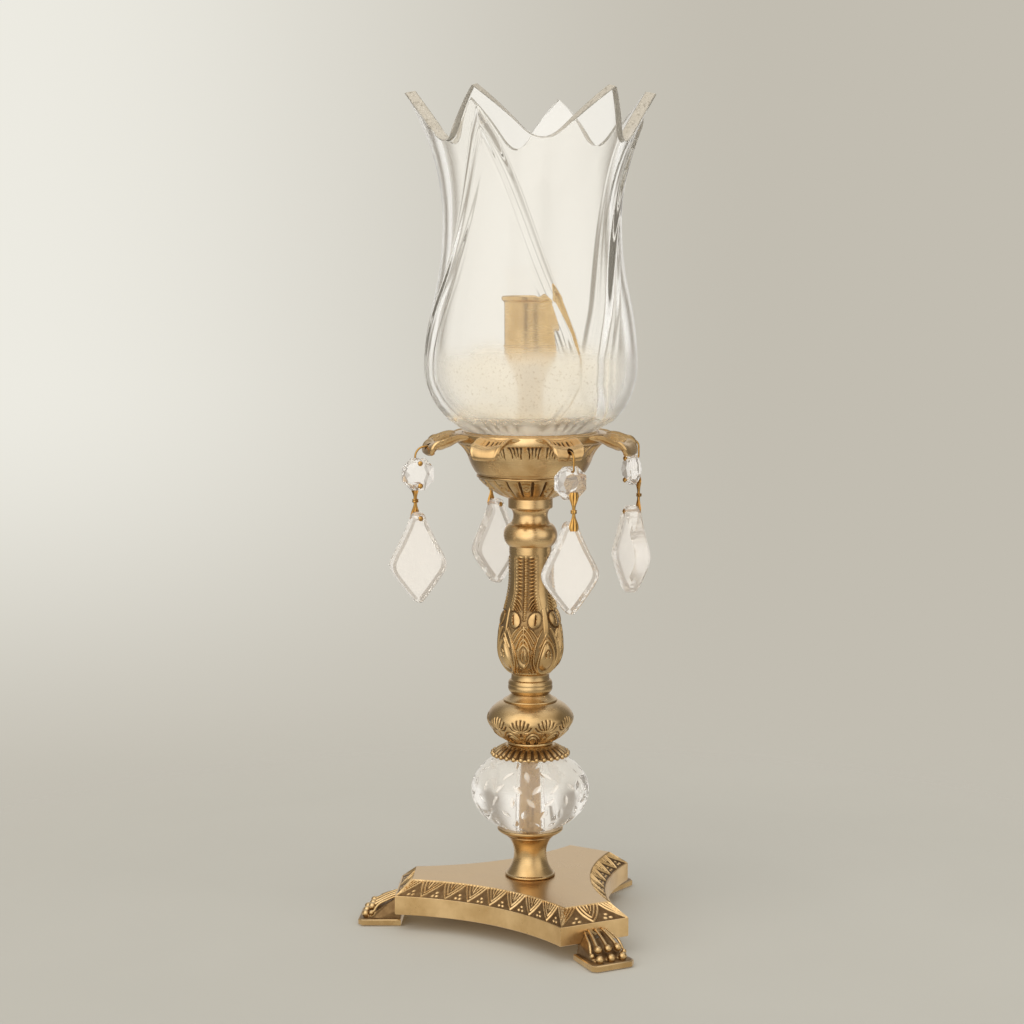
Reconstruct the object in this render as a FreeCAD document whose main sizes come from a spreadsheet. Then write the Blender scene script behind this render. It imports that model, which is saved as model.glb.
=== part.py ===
import FreeCAD
import Part
import Sketcher
import math
import os

# Hurricane candle lantern: brass stand on three paw feet, cut glass ball in the stem,
# bowl of leaf arms with crystal drops, petal glass shade round a candle cup.
# Millimetres. Stem axis on Z, table at z = 0, front foot towards -Y.
# A bearing is measured from -Y towards +X.

Vector = FreeCAD.Vector
Rotation = FreeCAD.Rotation
Placement = FreeCAD.Placement

doc = FreeCAD.newDocument("lantern")
dims = doc.addObject("Spreadsheet::Sheet", "dims")

sizes = {
    # plinth
    "foot_height": 7.7,
    "band_height": 8.5,
    "slope_height": 6.5,
    "corner_reach": 61.5,
    "corner_half": 17.1,
    "side_hollow": 9.9,
    "top_reach": 53.8,
    "top_half": 10.9,
    "top_hollow": 8.7,
    "ceiling_thickness": 3.5,
    "cavity_reach": 44.0,
    "cavity_half": 8.0,
    "cavity_hollow": 8.0,
    # paw feet
    "paw_reach": 79.4,
    "paw_half": 10.6,
    "paw_inset": 2.0,
    "paw_rise": 5.9,
    "ankle_half": 7.2,
    "instep_reach": 68.0,
    "instep_at": 9.8,
    "sole_reach": 76.4,
    "heel_taper": 1.0,
    "slab_height": 3.1,
    "front_cut": 2.0,
    "toe_radius": 1.5,
    "toe_sink": 0.7,
    "toe_root": 1.0,
    "toe_top_pitch": 3.3,
    "toe_reach": 73.2,
    "toe_at": 8.2,
    "toe_pitch": 4.9,
    "claw_radius": 1.75,
    "claw_reach": 76.2,
    "claw_at": 4.3,
    "claw_pitch": 5.7,
    "screw_at": 3.4,
    "screw_radius": 1.5,
    "screw_reach": 3.2,
    "screw_clear": 0.1,
    "head_radius": 2.8,
    "head_height": 2.2,
    # rod and its fixings
    "rod_radius": 3.0,
    "rod_clear": 0.2,
    "rod_tail": 1.6,
    "rod_grip": 14.0,
    "thread_clear": 0.05,
    "washer_radius": 7.0,
    "washer_height": 1.2,
    "nut_flats": 10.0,
    "nut_height": 5.0,
    # spool and dish
    "spool_height": 19.4,
    "spool_foot": 11.6,
    "spool_lip": 1.4,
    "spool_waist": 7.5,
    "spool_waist_at": 11.0,
    "spool_top": 11.0,
    "dish_foot": 10.9,
    "dish_radius": 15.2,
    "dish_edge": 1.0,
    "dish_swell": 0.5,
    "dish_height": 3.6,
    # ball
    "ball_radius": 27.3,
    "ball_height": 34.8,
    "ball_flat": 12.0,
    "ball_bore": 5.2,
    "ball_sides": 14,
    "ball_rows": 7,
    "ball_spare": 1.0,
    "sleeve_radius": 5.0,
    # collar
    "collar_rim": 17.4,
    "collar_drop": 0.9,
    "collar_edge": 1.3,
    "collar_lip": 0.6,
    "collar_swell": 0.12,
    "collar_top": 10.6,
    "collar_height": 4.4,
    "collar_beads": 30,
    "bead_radius": 1.2,
    "bead_inset": 0.1,
    "bead_sink": 0.5,
    "flute_radius": 0.9,
    "flute_foot": 1.5,
    "flute_rise": 0.3,
    "flute_head": 0.2,
    "flute_clear": 0.9,
    # knop and rings
    "knop_ring_radius": 10.6,
    "knop_ring_height": 1.8,
    "knop_ring_share": 0.35,
    "knop_ring_round": 0.7,
    "knop_foot": 10.4,
    "knop_radius": 19.4,
    "knop_low": 8.2,
    "knop_high": 12.6,
    "knop_flank": 0.2,
    "knop_edge": 0.28,
    "knop_top": 12.3,
    "knop_height": 18.4,
    "cone_top": 8.5,
    "cone_height": 3.9,
    "cone_hollow": 0.2,
    "ring_radius": 10.1,
    "ring_low": 9.2,
    "ring_high": 9.4,
    "ring_height": 6.0,
    "ring_crest": 0.6,
    "ring_swell": 0.3,
    "ring_fall": 0.2,
    "stem_top": 8.8,
    "stem_top_height": 2.8,
    "stem_hollow": 0.1,
    # baluster
    "baluster_height": 59.2,
    "baluster_radius": 14.9,
    "baluster_swell_at": 12.5,
    "baluster_neck": 9.7,
    "baluster_neck_at": 47.0,
    # neck
    "neck_bead": 12.3,
    "neck_bead_edge": 10.0,
    "neck_bead_height": 10.0,
    "neck_waist": 7.9,
    "neck_waist_at": 14.0,
    "neck_step": 1.0,
    "neck_ring": 10.2,
    "neck_ring_at": 17.4,
    "neck_chamfer": 0.6,
    "neck_height": 21.7,
    # cup and bowl
    "cup_lip": 24.6,
    "cup_lip_height": 1.2,
    "cup_height": 11.0,
    "cup_swell": 0.1,
    "cup_step": 0.6,
    "gadroons": 24,
    "gadroon_radius": 1.3,
    "gadroon_lift": 0.45,
    "gadroon_end": 3.0,
    "bowl_foot": 24.6,
    "bowl_mid": 28.3,
    "bowl_mid_at": 7.7,
    "bowl_swell": 0.1,
    "bowl_flare": 0.16,
    "bowl_rim": 34.6,
    "bowl_rim_at": 15.4,
    "bowl_floor": 2.5,
    "bowl_inside": 21.5,
    "bowl_hollow": 0.1,
    "rebate_radius": 31.2,
    "rebate_at": 17.4,
    "rebate_ledge": 2.4,
    "rim_top": 19.4,
    "rim_land": 0.8,
    # leaf arms
    "leaf_count": 8,
    "leaf_reach": 51.5,
    "leaf_crest": 20.6,
    "leaf_bend": 6.4,
    "leaf_thickness": 2.4,
    "leaf_tip_at": 10.6,
    "leaf_half": 7.6,
    "leaf_root": 34.6,
    "gap_arch": 5.0,
    "gap_spare": 4.0,
    "leaf_hole_at": 14.2,
    "leaf_hole": 1.4,
    "head_turn": -7.2,
    # seat and candle cup
    "plate_clear": 0.2,
    "plate_height": 2.3,
    "plate_edge": 0.5,
    "pedestal_flange": 10.5,
    "pedestal_flange_height": 2.0,
    "pedestal_stem": 5.6,
    "pedestal_stem_at": 15.0,
    "pedestal_lip": 1.6,
    "pedestal_head": 9.0,
    "pedestal_height": 29.0,
    "tenon_radius": 3.0,
    "tenon_gap": 1.0,
    "rod_gap": 0.5,
    "candle_bore": 11.0,
    "candle_depth": 25.0,
    "candle_wall": 0.9,
    "candle_floor": 7.0,
    "candle_rim": 13.2,
    "candle_rim_height": 1.8,
    "candle_swell": 0.12,
    "rim_cove": 0.2,
    "rim_cove_at": 1.6,
    "rim_round": 0.3,
    "rim_round_at": 0.5,
    # shade
    "shade_foot": 29.0,
    "shade_open": 20.0,
    "shade_floor": 5.0,
    "shade_belly": 47.0,
    "shade_belly_at": 29.5,
    "shade_waist": 39.6,
    "shade_waist_at": 94.0,
    "shade_tip": 56.4,
    "shade_tip_at": 151.0,
    "shade_wall": 4.0,
    "petal_count": 6,
    "petal_turn": -54.2,
    "petal_skin": 1.0,
    "petal_half": 38.9,
    "petal_wide_at": 30.0,
    "petal_shoulder": 31.3,
    "petal_shoulder_at": 59.0,
    "petal_point_at": 140.0,
    "petal_foot": 17.0,
    "petal_below": 1.0,
    "petal_upper_swell": 0.14,
    "petal_lower_swell": 0.24,
    "petal_spare": 20.0,
    "notch_depth": 22.0,
    "notch_root": 6.0,
    "notch_round": 0.5,
    "notch_side": 2.0,
    "notch_above": 9.0,
    "tip_flat": 2.7,
    "tip_1": 0.0,
    "tip_2": 67.0,
    "tip_3": 120.0,
    "tip_4": 192.0,
    "tip_5": 240.0,
    "tip_6": 300.0,
    # chains
    "wire_radius": 0.45,
    "hook_bend": 3.2,
    "hook_bend_4": 4.7,
    "hook_tail": 2.4,
    "hook_drop": 8.4,
    "hook_drop_4": 7.0,
    "hook_foot": 1.0,
    "pin_head": 1.1,
    "pin_head_height": 0.6,
    "pin_clear": 0.3,
    "octagon_half": 7.2,
    "octagon_table": 4.0,
    "octagon_height": 6.0,
    "girdle_height": 2.0,
    "crystal_hole": 0.8,
    "hole_inset": 2.2,
    "link_length": 14.6,
    "link_thickness": 1.0,
    "link_half": 1.3,
    "link_fan": 2.3,
    "link_waist": 0.8,
    "link_knot": 1.5,
    "prong_radius": 0.55,
    "drop_height": 40.8,
    "drop_half": 12.8,
    "drop_wide_at": 24.4,
    "drop_top": 2.6,
    "drop_top_share": 0.55,
    "drop_shoulder": 1.6,
    "drop_upper_cut": 0.6,
    "drop_lower_cut": 1.7,
    "drop_corner": 3.0,
    "drop_tail": 5.0,
    "drop_tail_at": 36.0,
    "drop_tip_share": 0.25,
    "drop_thickness": 8.0,
    "drop_girdle": 2.4,
    "drop_table": 0.56,
    "drop_table_shift": 2.0,
    "drop_hole_inset": 2.6,
    "facing_1": 174.8,
    "facing_2": -92.2,
    "facing_3": 10.8,
    "facing_4": -6.2,
}

row = 0
for alias, number in sizes.items():
    row += 1
    dims.set("A%d" % row, alias)
    dims.set("B%d" % row, str(number))
    dims.setAlias("B%d" % row, alias)
doc.recompute()


def named(text):
    # puts the sheet's name before every size name in a formula
    out = ""
    word = ""
    for letter in text + " ":
        if letter.isalnum() or letter == "_":
            word += letter
            continue
        out += "dims." + word if word in sizes else word
        out += letter
        word = ""
    return out.strip()


def value(text):
    return float(dims.evalExpression(named(text)))


def upright(run, rise):
    # bulge of an arc that stands upright at one end
    return "tan(atan((%s)/(%s))/2)" % (run, rise)


# heights of the stack
base_top = "foot_height+band_height+slope_height"
dish_at = base_top + "+spool_height"
ball_at = dish_at + "+dish_height"
collar_at = ball_at + "+ball_height"
knop_ring_at = collar_at + "+collar_height"
knop_at = knop_ring_at + "+knop_ring_height"
stem_ring_at = knop_at + "+knop_height"
stem_ring_height = "cone_height+ring_height+stem_top_height"
baluster_at = stem_ring_at + "+" + stem_ring_height
neck_at = baluster_at + "+baluster_height"
cup_at = neck_at + "+neck_height"
bowl_at = cup_at + "+cup_height"
plate_at = bowl_at + "+rebate_at"
shade_at = plate_at + "+plate_height"
candle_at = shade_at + "+pedestal_height"
bore = "rod_radius+rod_clear"

made = []


def place(part, height="0", across="0", along="0", turn="0"):
    part.setExpression("Placement.Base.x", named(across))
    part.setExpression("Placement.Base.y", named(along))
    part.setExpression("Placement.Base.z", named(height))
    part.Placement.Rotation = Rotation(Vector(0, 0, 1), value(turn))
    part.setExpression("Placement.Rotation.Angle", named(turn))
    made.append(part)
    return part


def draw(sketch, outline):
    # closed outline of (x, y, bulge to the next point), each a formula
    count = len(outline)
    spots = [Vector(value(x), value(y), 0) for x, y, bulge in outline]
    ends = []
    for i in range(count):
        p = spots[i]
        q = spots[(i + 1) % count]
        bulge = outline[i][2]
        if bulge is None:
            line = sketch.addGeometry(Part.LineSegment(p, q))
            ends.append((line, 1, 2))
            continue
        b = value(bulge)
        step = q - p
        left = Vector(-step.y, step.x, 0)
        mid = p + step * 0.5 - left * (b / 2)
        turn = (p, mid, q) if b > 0 else (q, mid, p)
        line = sketch.addGeometry(Part.Arc(*turn))
        ends.append((line, 1, 2) if b > 0 else (line, 2, 1))
    for i in range(count):
        after = ends[(i + 1) % count]
        here = ends[i]
        sketch.addConstraint(Sketcher.Constraint("Coincident", here[0], here[2], after[0], after[1]))
    for i in range(count):
        line, start, stop = ends[i]
        x, y, bulge = outline[i]
        hold(sketch, line, start, x, "DistanceX", -2)
        hold(sketch, line, start, y, "DistanceY", -1)
        if bulge is not None:
            nx, ny, rest = outline[(i + 1) % count]
            chord = "sqrt(pow((%s)-(%s);2)+pow((%s)-(%s);2))" % (nx, x, ny, y)
            radius = "%s*(1+pow(%s;2))/(4*abs(%s))" % (chord, bulge, bulge)
            size = sketch.addConstraint(Sketcher.Constraint("Radius", line, value(radius)))
            sketch.setExpression("Constraints[%d]" % size, named(radius))


def hold(sketch, line, spot, text, kind, axis):
    if text == "0":
        sketch.addConstraint(Sketcher.Constraint("PointOnObject", line, spot, axis))
        return
    mark = sketch.addConstraint(Sketcher.Constraint(kind, -1, 1, line, spot, value(text)))
    sketch.setExpression("Constraints[%d]" % mark, named(text))


def sketch_in(body, name, plane, outline, offset=None, circles=()):
    sketch = body.newObject("Sketcher::SketchObject", name)
    face = [item for item in body.Origin.OriginFeatures if item.Role == plane][0]
    sketch.AttachmentSupport = [(face, "")]
    sketch.MapMode = "FlatFace"
    if offset is not None:
        sketch.setExpression("AttachmentOffset.Base.z", named(offset))
    if outline:
        draw(sketch, outline)
    for x, y, radius in circles:
        spot = Vector(value(x), value(y), 0)
        ring = sketch.addGeometry(Part.Circle(spot, Vector(0, 0, 1), value(radius)))
        hold(sketch, ring, 3, x, "DistanceX", -2)
        hold(sketch, ring, 3, y, "DistanceY", -1)
        size = sketch.addConstraint(Sketcher.Constraint("Radius", ring, value(radius)))
        sketch.setExpression("Constraints[%d]" % size, named(radius))
    return sketch


def new_body(label):
    body = doc.addObject("PartDesign::Body", label)
    body.Label = label
    return body


def feature(body, kind, name, sketch, **settings):
    item = body.newObject("PartDesign::" + kind, name)
    item.Profile = sketch
    for key, setting in settings.items():
        if isinstance(setting, str) and key in ("Length", "Length2"):
            item.setExpression(key, named(setting))
        else:
            setattr(item, key, setting)
    sketch.Visibility = False
    return item


def around(body, name, original, count):
    # repeats a feature round the stem axis
    item = body.newObject("PartDesign::PolarPattern", name)
    item.Originals = [original]
    axis = [part for part in body.Origin.OriginFeatures if part.Role == "Z_Axis"][0]
    item.Axis = (axis, [""])
    item.Angle = 360
    item.setExpression("Occurrences", named(count))
    body.Tip = item
    return item


def turned(label, outline, height):
    body = new_body(label)
    sketch = sketch_in(body, label + "_profile", "XZ_Plane", outline)
    turn = feature(body, "Revolution", label + "_turning", sketch, Angle=360)
    turn.ReferenceAxis = (sketch, ["V_Axis"])
    return place(body, height)


def bearing(angle):
    # unit vector of a bearing
    a = math.radians(angle)
    return Vector(math.sin(a), -math.cos(a), 0)


def mirrored(half):
    # closes a half outline (x, y) over the Y axis, first and last points may lie on it
    back = [("-(%s)" % x, y) for x, y in reversed(half) if x != "0"]
    return [(x, y, None) for x, y in half + back]


def scaled(outline, share, centre):
    # shrinks an outline towards a point on the Y axis, edges stay parallel
    out = []
    for x, y, bulge in outline:
        px = "0" if x == "0" else "(%s)*(%s)" % (x, share)
        out.append((px, "(%s)+((%s)-(%s))*(%s)" % (centre, y, centre, share), bulge))
    return out


# plinth
def plinth_outline(reach, half, hollow):
    # three cut corners joined by hollow sides
    outline = []
    chord = "2*((%s)*%.9f-(%s)*0.5)" % (reach, math.sin(math.pi / 3), half)
    for corner in (0, 120, 240):
        out = bearing(corner)
        side = bearing(corner + 90)
        for sign, bulge in ((-1, None), (1, "-2*(%s)/(%s)" % (hollow, chord))):
            x = "(%s)*(%.9f)+(%s)*(%.9f)" % (reach, out.x, half, sign * side.x)
            y = "(%s)*(%.9f)+(%s)*(%.9f)" % (reach, out.y, half, sign * side.y)
            outline.append((x, y, bulge))
    return outline


base = new_body("base_plate")
outer = plinth_outline("corner_reach", "corner_half", "side_hollow")
upper = plinth_outline("top_reach", "top_half", "top_hollow")
cavity = plinth_outline("cavity_reach", "cavity_half", "cavity_hollow")
band = sketch_in(base, "band_outline", "XY_Plane", outer)
feature(base, "Pad", "band", band, Length="band_height")
shoulder = sketch_in(base, "shoulder_outline", "XY_Plane", outer, "band_height")
crown = sketch_in(base, "crown_outline", "XY_Plane", upper, "band_height+slope_height")
slope = feature(base, "AdditiveLoft", "slope", shoulder, Ruled=True)
slope.Sections = [crown]
crown.Visibility = False
under = sketch_in(base, "cavity_outline", "XY_Plane", cavity)
cavity_depth = "band_height+slope_height-ceiling_thickness"
feature(base, "Pocket", "cavity", under, Length=cavity_depth, Reversed=True)
rod_hole = sketch_in(base, "rod_hole_outline", "XY_Plane", None, None, [("0", "0", bore)])
feature(base, "Pocket", "rod_hole", rod_hole, Length="band_height+slope_height", Reversed=True)
for corner in (0, 120, 240):
    out = bearing(corner)
    tap = base.newObject("PartDesign::SubtractiveCylinder", "screw_hole_%d" % corner)
    tap.setExpression("Radius", named("screw_radius+screw_clear"))
    tap.setExpression("Height", named("corner_reach"))
    tap.Placement = Placement(Vector(), Rotation(Vector(0, 0, 1), out))
    tap.setExpression("Placement.Base.x", named("cavity_reach/2*(%.9f)" % out.x))
    tap.setExpression("Placement.Base.y", named("cavity_reach/2*(%.9f)" % out.y))
    tap.setExpression("Placement.Base.z", named("screw_at"))
place(base, "foot_height")


# paw feet, drawn with +X outward and turned to their corners
def paw_foot(label, turn):
    body = new_body(label)
    inner = "corner_reach-paw_inset"
    knuckle = "foot_height+paw_rise"
    side = [
        (inner, "0", None), ("sole_reach", "0", None), ("sole_reach", "slab_height", None),
        ("instep_reach", "instep_at", None), ("corner_reach", knuckle + "-toe_sink", None),
        ("corner_reach", "foot_height", None), (inner, "foot_height", None)]
    ankle = sketch_in(body, label + "_side", "XZ_Plane", side)
    feature(body, "Pad", label + "_ankle", ankle, Length="2*ankle_half", SideType="Symmetric")
    plan = [
        (inner, "-paw_half+heel_taper", None), ("paw_reach-front_cut", "-paw_half", None),
        ("paw_reach", "-paw_half+front_cut", None), ("paw_reach", "paw_half-front_cut", None),
        ("paw_reach-front_cut", "paw_half", None), (inner, "paw_half-heel_taper", None)]
    sole = sketch_in(body, label + "_plan", "XY_Plane", plan)
    feature(body, "Pad", label + "_slab", sole, Length="slab_height")
    for toe in (-1, 0, 1):
        top = value(knuckle + "-toe_radius")
        high = Vector(value("corner_reach-toe_root"), value("toe_top_pitch") * toe, top)
        low = Vector(value("toe_reach"), value("toe_pitch") * toe, value("toe_at"))
        run = low - high
        rod = body.newObject("PartDesign::AdditiveCylinder", "%s_toe_%d" % (label, toe + 2))
        rod.setExpression("Radius", named("toe_radius"))
        rod.Height = run.Length
        rod.Placement = Placement(high, Rotation(Vector(0, 0, 1), run))
        for reach, pitch, height in (("toe_reach", "toe_pitch", "toe_at"),
                                     ("claw_reach", "claw_pitch", "claw_at")):
            claw = body.newObject("PartDesign::AdditiveSphere", "%s_%s_%d" % (label, reach[:4], toe + 2))
            claw.setExpression("Radius", named("claw_radius"))
            claw.setExpression("Placement.Base.x", named(reach))
            claw.setExpression("Placement.Base.y", named("%s*%d" % (pitch, toe)))
            claw.setExpression("Placement.Base.z", named(height))
    tap = body.newObject("PartDesign::SubtractiveCylinder", label + "_screw_hole")
    tap.setExpression("Radius", named("screw_radius+screw_clear"))
    tap.setExpression("Height", named("2*screw_reach+screw_clear"))
    tap.Placement = Placement(Vector(), Rotation(Vector(0, 0, 1), Vector(1, 0, 0)))
    tap.setExpression("Placement.Base.x", named("corner_reach-screw_reach"))
    tap.setExpression("Placement.Base.z", named("foot_height+screw_at"))
    # the corner face of the plinth trims the toes behind it
    behind = sketch_in(body, label + "_trim", "XZ_Plane", [
        (inner + "-paw_half", "foot_height", None), ("corner_reach", "foot_height", None),
        ("corner_reach", "foot_height+paw_half", None), (inner + "-paw_half", "foot_height+paw_half", None)])
    feature(body, "Pocket", label + "_seat", behind, Length="4*paw_half", SideType="Symmetric")
    return place(body, "0", "0", "0", turn)


paw_foot("paw_foot_front", "-90")
paw_foot("paw_foot_right", "30")
paw_foot("paw_foot_left", "150")

# one screw from inside the plinth into each foot
screws = []
screw_start = "cavity_reach-head_height"
screw_length = "corner_reach+screw_reach-(%s)" % screw_start
for corner in (0, 120, 240):
    out = bearing(corner)
    body = new_body("foot_screw_%d" % corner)
    sketch = sketch_in(body, "screw_profile_%d" % corner, "XZ_Plane", [
        ("0", "0", None), ("head_radius", "0", None),
        ("head_radius", "head_height", None), ("screw_radius", "head_height", None),
        ("screw_radius", screw_length, None), ("0", screw_length, None)])
    turn = feature(body, "Revolution", "screw_turning_%d" % corner, sketch, Angle=360)
    turn.ReferenceAxis = (sketch, ["V_Axis"])
    body.Placement = Placement(Vector(), Rotation(Vector(0, 0, 1), out))
    body.setExpression("Placement.Base.x", named("(%s)*(%.9f)" % (screw_start, out.x)))
    body.setExpression("Placement.Base.y", named("(%s)*(%.9f)" % (screw_start, out.y)))
    body.setExpression("Placement.Base.z", named("foot_height+screw_at"))
    screws.append(body)
group = doc.addObject("Part::Compound", "foot_screws")
group.Links = screws
group.Label = "foot_screws"
place(group)

# rod, washer and nut
ceiling = base_top + "-ceiling_thickness"
rod = doc.addObject("Part::Cylinder", "tie_rod")
rod.Label = "tie_rod"
rod_start = ceiling + "-washer_height-nut_height-rod_tail"
rod.setExpression("Radius", named("rod_radius"))
rod.setExpression("Height", named("(%s+rod_grip)-(%s)" % (shade_at, rod_start)))
place(rod, rod_start)
turned("base_washer", [
    (bore, "0", None), ("washer_radius", "0", None),
    ("washer_radius", "washer_height", None), (bore, "washer_height", None)],
    ceiling + "-washer_height")
nut = new_body("base_nut")
flats = []
for corner in range(6):
    a = math.radians(60 * corner + 30)
    reach = "nut_flats/%.9f" % math.sqrt(3)
    x = "0" if corner in (1, 4) else "%s*(%.9f)" % (reach, math.cos(a))
    flats.append((x, "%s*(%.9f)" % (reach, math.sin(a)), None))
hexagon = sketch_in(nut, "nut_outline", "XY_Plane", flats, None, [("0", "0", "rod_radius+thread_clear")])
feature(nut, "Pad", "nut_pad", hexagon, Length="nut_height")
place(nut, ceiling + "-washer_height-nut_height")

# stem, each piece on the one below
turned("spool", [
    (bore, "0", None), ("spool_foot", "0", None),
    ("spool_foot", "spool_lip", "-" + upright("spool_foot-spool_waist", "spool_waist_at-spool_lip")),
    ("spool_waist", "spool_waist_at",
     "-" + upright("spool_top-spool_waist", "spool_height-spool_waist_at")),
    ("spool_top", "spool_height", None), (bore, "spool_height", None)], base_top)
turned("ball_dish", [
    (bore, "0", None), ("dish_foot", "0", None), ("dish_radius", "dish_height-dish_edge", "dish_swell"),
    ("dish_radius", "dish_height", None), (bore, "dish_height", None)], dish_at)


def cut_ball():
    # oblate ball of flat facets in staggered rows, ground flat at both ends
    sides = int(value("ball_sides"))
    radius = value("ball_radius")
    height = value("ball_height")
    edge = math.acos(value("ball_flat") / radius)
    tall = height / 2 / math.sin(edge)
    rows = int(value("ball_rows"))
    rings = []
    for i in range(rows + 1):
        angle = -edge + 2 * edge * i / rows
        ring = []
        for k in range(sides):
            a = 2 * math.pi * (k + 0.5 * (i % 2)) / sides
            r = radius * math.cos(angle)
            ring.append(Vector(r * math.cos(a), r * math.sin(a), height / 2 + tall * math.sin(angle)))
        rings.append(ring)
    faces = []
    for i in range(rows):
        low = rings[i]
        high = rings[i + 1]
        lead = i % 2
        for k in range(sides):
            n = (k + 1) % sides
            if lead == 0:
                corners = ((low[k], low[n], high[k]), (low[n], high[n], high[k]))
            else:
                corners = ((low[k], high[n], high[k]), (low[k], low[n], high[n]))
            for corner in corners:
                faces.append(Part.Face(Part.makePolygon(list(corner) + [corner[0]])))
    for ring in (rings[0], rings[-1]):
        faces.append(Part.Face(Part.makePolygon(ring + [ring[0]])))
    solid = Part.Solid(Part.makeShell(faces))
    if solid.Volume < 0:
        solid.reverse()
    spare = value("ball_spare")
    return solid.cut(Part.makeCylinder(value("ball_bore"), height + 2 * spare, Vector(0, 0, -spare)))


ball = doc.addObject("Part::Feature", "crystal_ball")
ball.Label = "crystal_ball"
ball.Shape = cut_ball()
place(ball, ball_at)
turned("ball_sleeve", [
    (bore, "0", None), ("sleeve_radius", "0", None),
    ("sleeve_radius", "ball_height", None), (bore, "ball_height", None)], ball_at)

# collar: a fluted skirt with a bead at the foot of each rib
collar = new_body("fluted_collar")
sketch = sketch_in(collar, "collar_profile", "XZ_Plane", [
    (bore, "0", None), ("ball_flat", "0", None), ("collar_rim-collar_lip", "-collar_drop", None),
    ("collar_rim", "-collar_drop+collar_edge", "collar_swell"), ("collar_top", "collar_height", None),
    (bore, "collar_height", None)])
skirt = feature(collar, "Revolution", "collar_turning", sketch, Angle=360)
skirt.ReferenceAxis = (sketch, ["V_Axis"])
bead = collar.newObject("PartDesign::AdditiveSphere", "collar_bead")
bead.setExpression("Radius", named("bead_radius"))
bead.setExpression("Placement.Base.x", named("collar_rim-bead_inset"))
bead.setExpression("Placement.Base.z", named("-collar_drop+collar_edge-bead_radius*bead_sink"))
around(collar, "collar_beads_round", bead, "collar_beads")
flute = collar.newObject("PartDesign::SubtractiveCylinder", "collar_flute")
flute.setExpression("Radius", named("flute_radius"))
foot = Vector(value("collar_rim+flute_foot"), 0, value("collar_edge-collar_drop+flute_rise"))
head = Vector(value("collar_top-flute_head"), 0, value("collar_height+flute_radius*flute_clear"))
flute.Height = (head - foot).Length
half_step = Rotation(Vector(0, 0, 1), 180.0 / value("collar_beads"))
lean = half_step.multiply(Rotation(Vector(0, 0, 1), head - foot))
flute.Placement = Placement(half_step.multVec(foot), lean)
around(collar, "collar_flutes_round", flute, "collar_beads")
place(collar, collar_at)

turned("knop_ring", [
    (bore, "0", None), ("knop_ring_radius-knop_ring_height*knop_ring_share", "0", "knop_ring_round"),
    ("knop_ring_radius-knop_ring_height*knop_ring_share", "knop_ring_height", None),
    (bore, "knop_ring_height", None)], knop_ring_at)
turned("knop", [
    (bore, "0", None), ("knop_foot", "0", "knop_flank"), ("knop_radius", "knop_low", "knop_edge"),
    ("knop_radius", "knop_high", "knop_flank"), ("knop_top", "knop_height", None),
    (bore, "knop_height", None)], knop_at)
turned("stem_ring", [
    (bore, "0", None), ("knop_top", "0", "-cone_hollow"),
    ("cone_top", "cone_height", None), ("ring_low", "cone_height", "ring_swell"),
    ("ring_radius", "cone_height+ring_height*ring_crest", "ring_fall"),
    ("ring_high", "cone_height+ring_height", "-stem_hollow"),
    ("stem_top", stem_ring_height, None), (bore, stem_ring_height, None)], stem_ring_at)

half_fall = "(baluster_radius+baluster_neck)/2"
half_way = "(baluster_swell_at+baluster_neck_at)/2"
fall = upright("baluster_radius-baluster_neck", "baluster_neck_at-baluster_swell_at")
turned("baluster", [
    (bore, "0", None), ("stem_top", "0", upright("baluster_radius-stem_top", "baluster_swell_at")),
    ("baluster_radius", "baluster_swell_at", fall), (half_fall, half_way, "-" + fall),
    ("baluster_neck", "baluster_neck_at", None), ("baluster_neck", "baluster_height", None),
    (bore, "baluster_height", None)], baluster_at)
neck_inset = "neck_ring-neck_step"
turned("neck", [
    (bore, "0", None), ("neck_bead_edge", "0", upright("neck_bead-neck_bead_edge", "neck_bead_height/2")),
    ("neck_bead", "neck_bead_height/2", upright("neck_bead-neck_bead_edge", "neck_bead_height/2")),
    ("neck_bead_edge", "neck_bead_height", None),
    (neck_inset, "neck_bead_height",
     "-" + upright(neck_inset + "-neck_waist", "neck_waist_at-neck_bead_height")),
    ("neck_waist", "neck_waist_at", "-" + upright(neck_inset + "-neck_waist", "neck_ring_at-neck_waist_at")),
    (neck_inset, "neck_ring_at", None), ("neck_ring", "neck_ring_at+neck_chamfer", None),
    ("neck_ring", "neck_height", None), (bore, "neck_height", None)], neck_at)

# gadroon cup: a swelling cup grooved along its curve
cup = new_body("gadroon_cup")
cup_rise = "cup_height-cup_lip_height"
sketch = sketch_in(cup, "cup_profile", "XZ_Plane", [
    (bore, "0", None), ("neck_ring", "0", "cup_swell"), ("cup_lip-cup_step", cup_rise, None),
    ("cup_lip", cup_rise, None), ("cup_lip", "cup_height", None), (bore, "cup_height", None)])
swelling = feature(cup, "Revolution", "cup_turning", sketch, Angle=360)
swelling.ReferenceAxis = (sketch, ["V_Axis"])
near = Vector(value("neck_ring"), 0, 0)
far = Vector(value("cup_lip-cup_step"), 0, value(cup_rise))
chord = far - near
bulge = value("cup_swell")
curve_radius = chord.Length * (1 + bulge * bulge) / (4 * bulge)
centre = (near + far) * 0.5 + Vector(-chord.z, 0, chord.x) * ((1 - bulge * bulge) / (4 * bulge))
groove = cup.newObject("PartDesign::SubtractiveTorus", "cup_groove")
groove.Radius1 = curve_radius + value("gadroon_radius*gadroon_lift")
groove.setExpression("Radius2", named("gadroon_radius"))
first = math.degrees(math.atan2(near.z - centre.z, near.x - centre.x))
last = math.degrees(math.atan2(far.z - centre.z, far.x - centre.x))
groove.Angle1 = -180
groove.Angle2 = 180
groove.Angle3 = last - first - 2 * value("gadroon_end")
standing = Rotation(Vector(1, 0, 0), 90)
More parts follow.
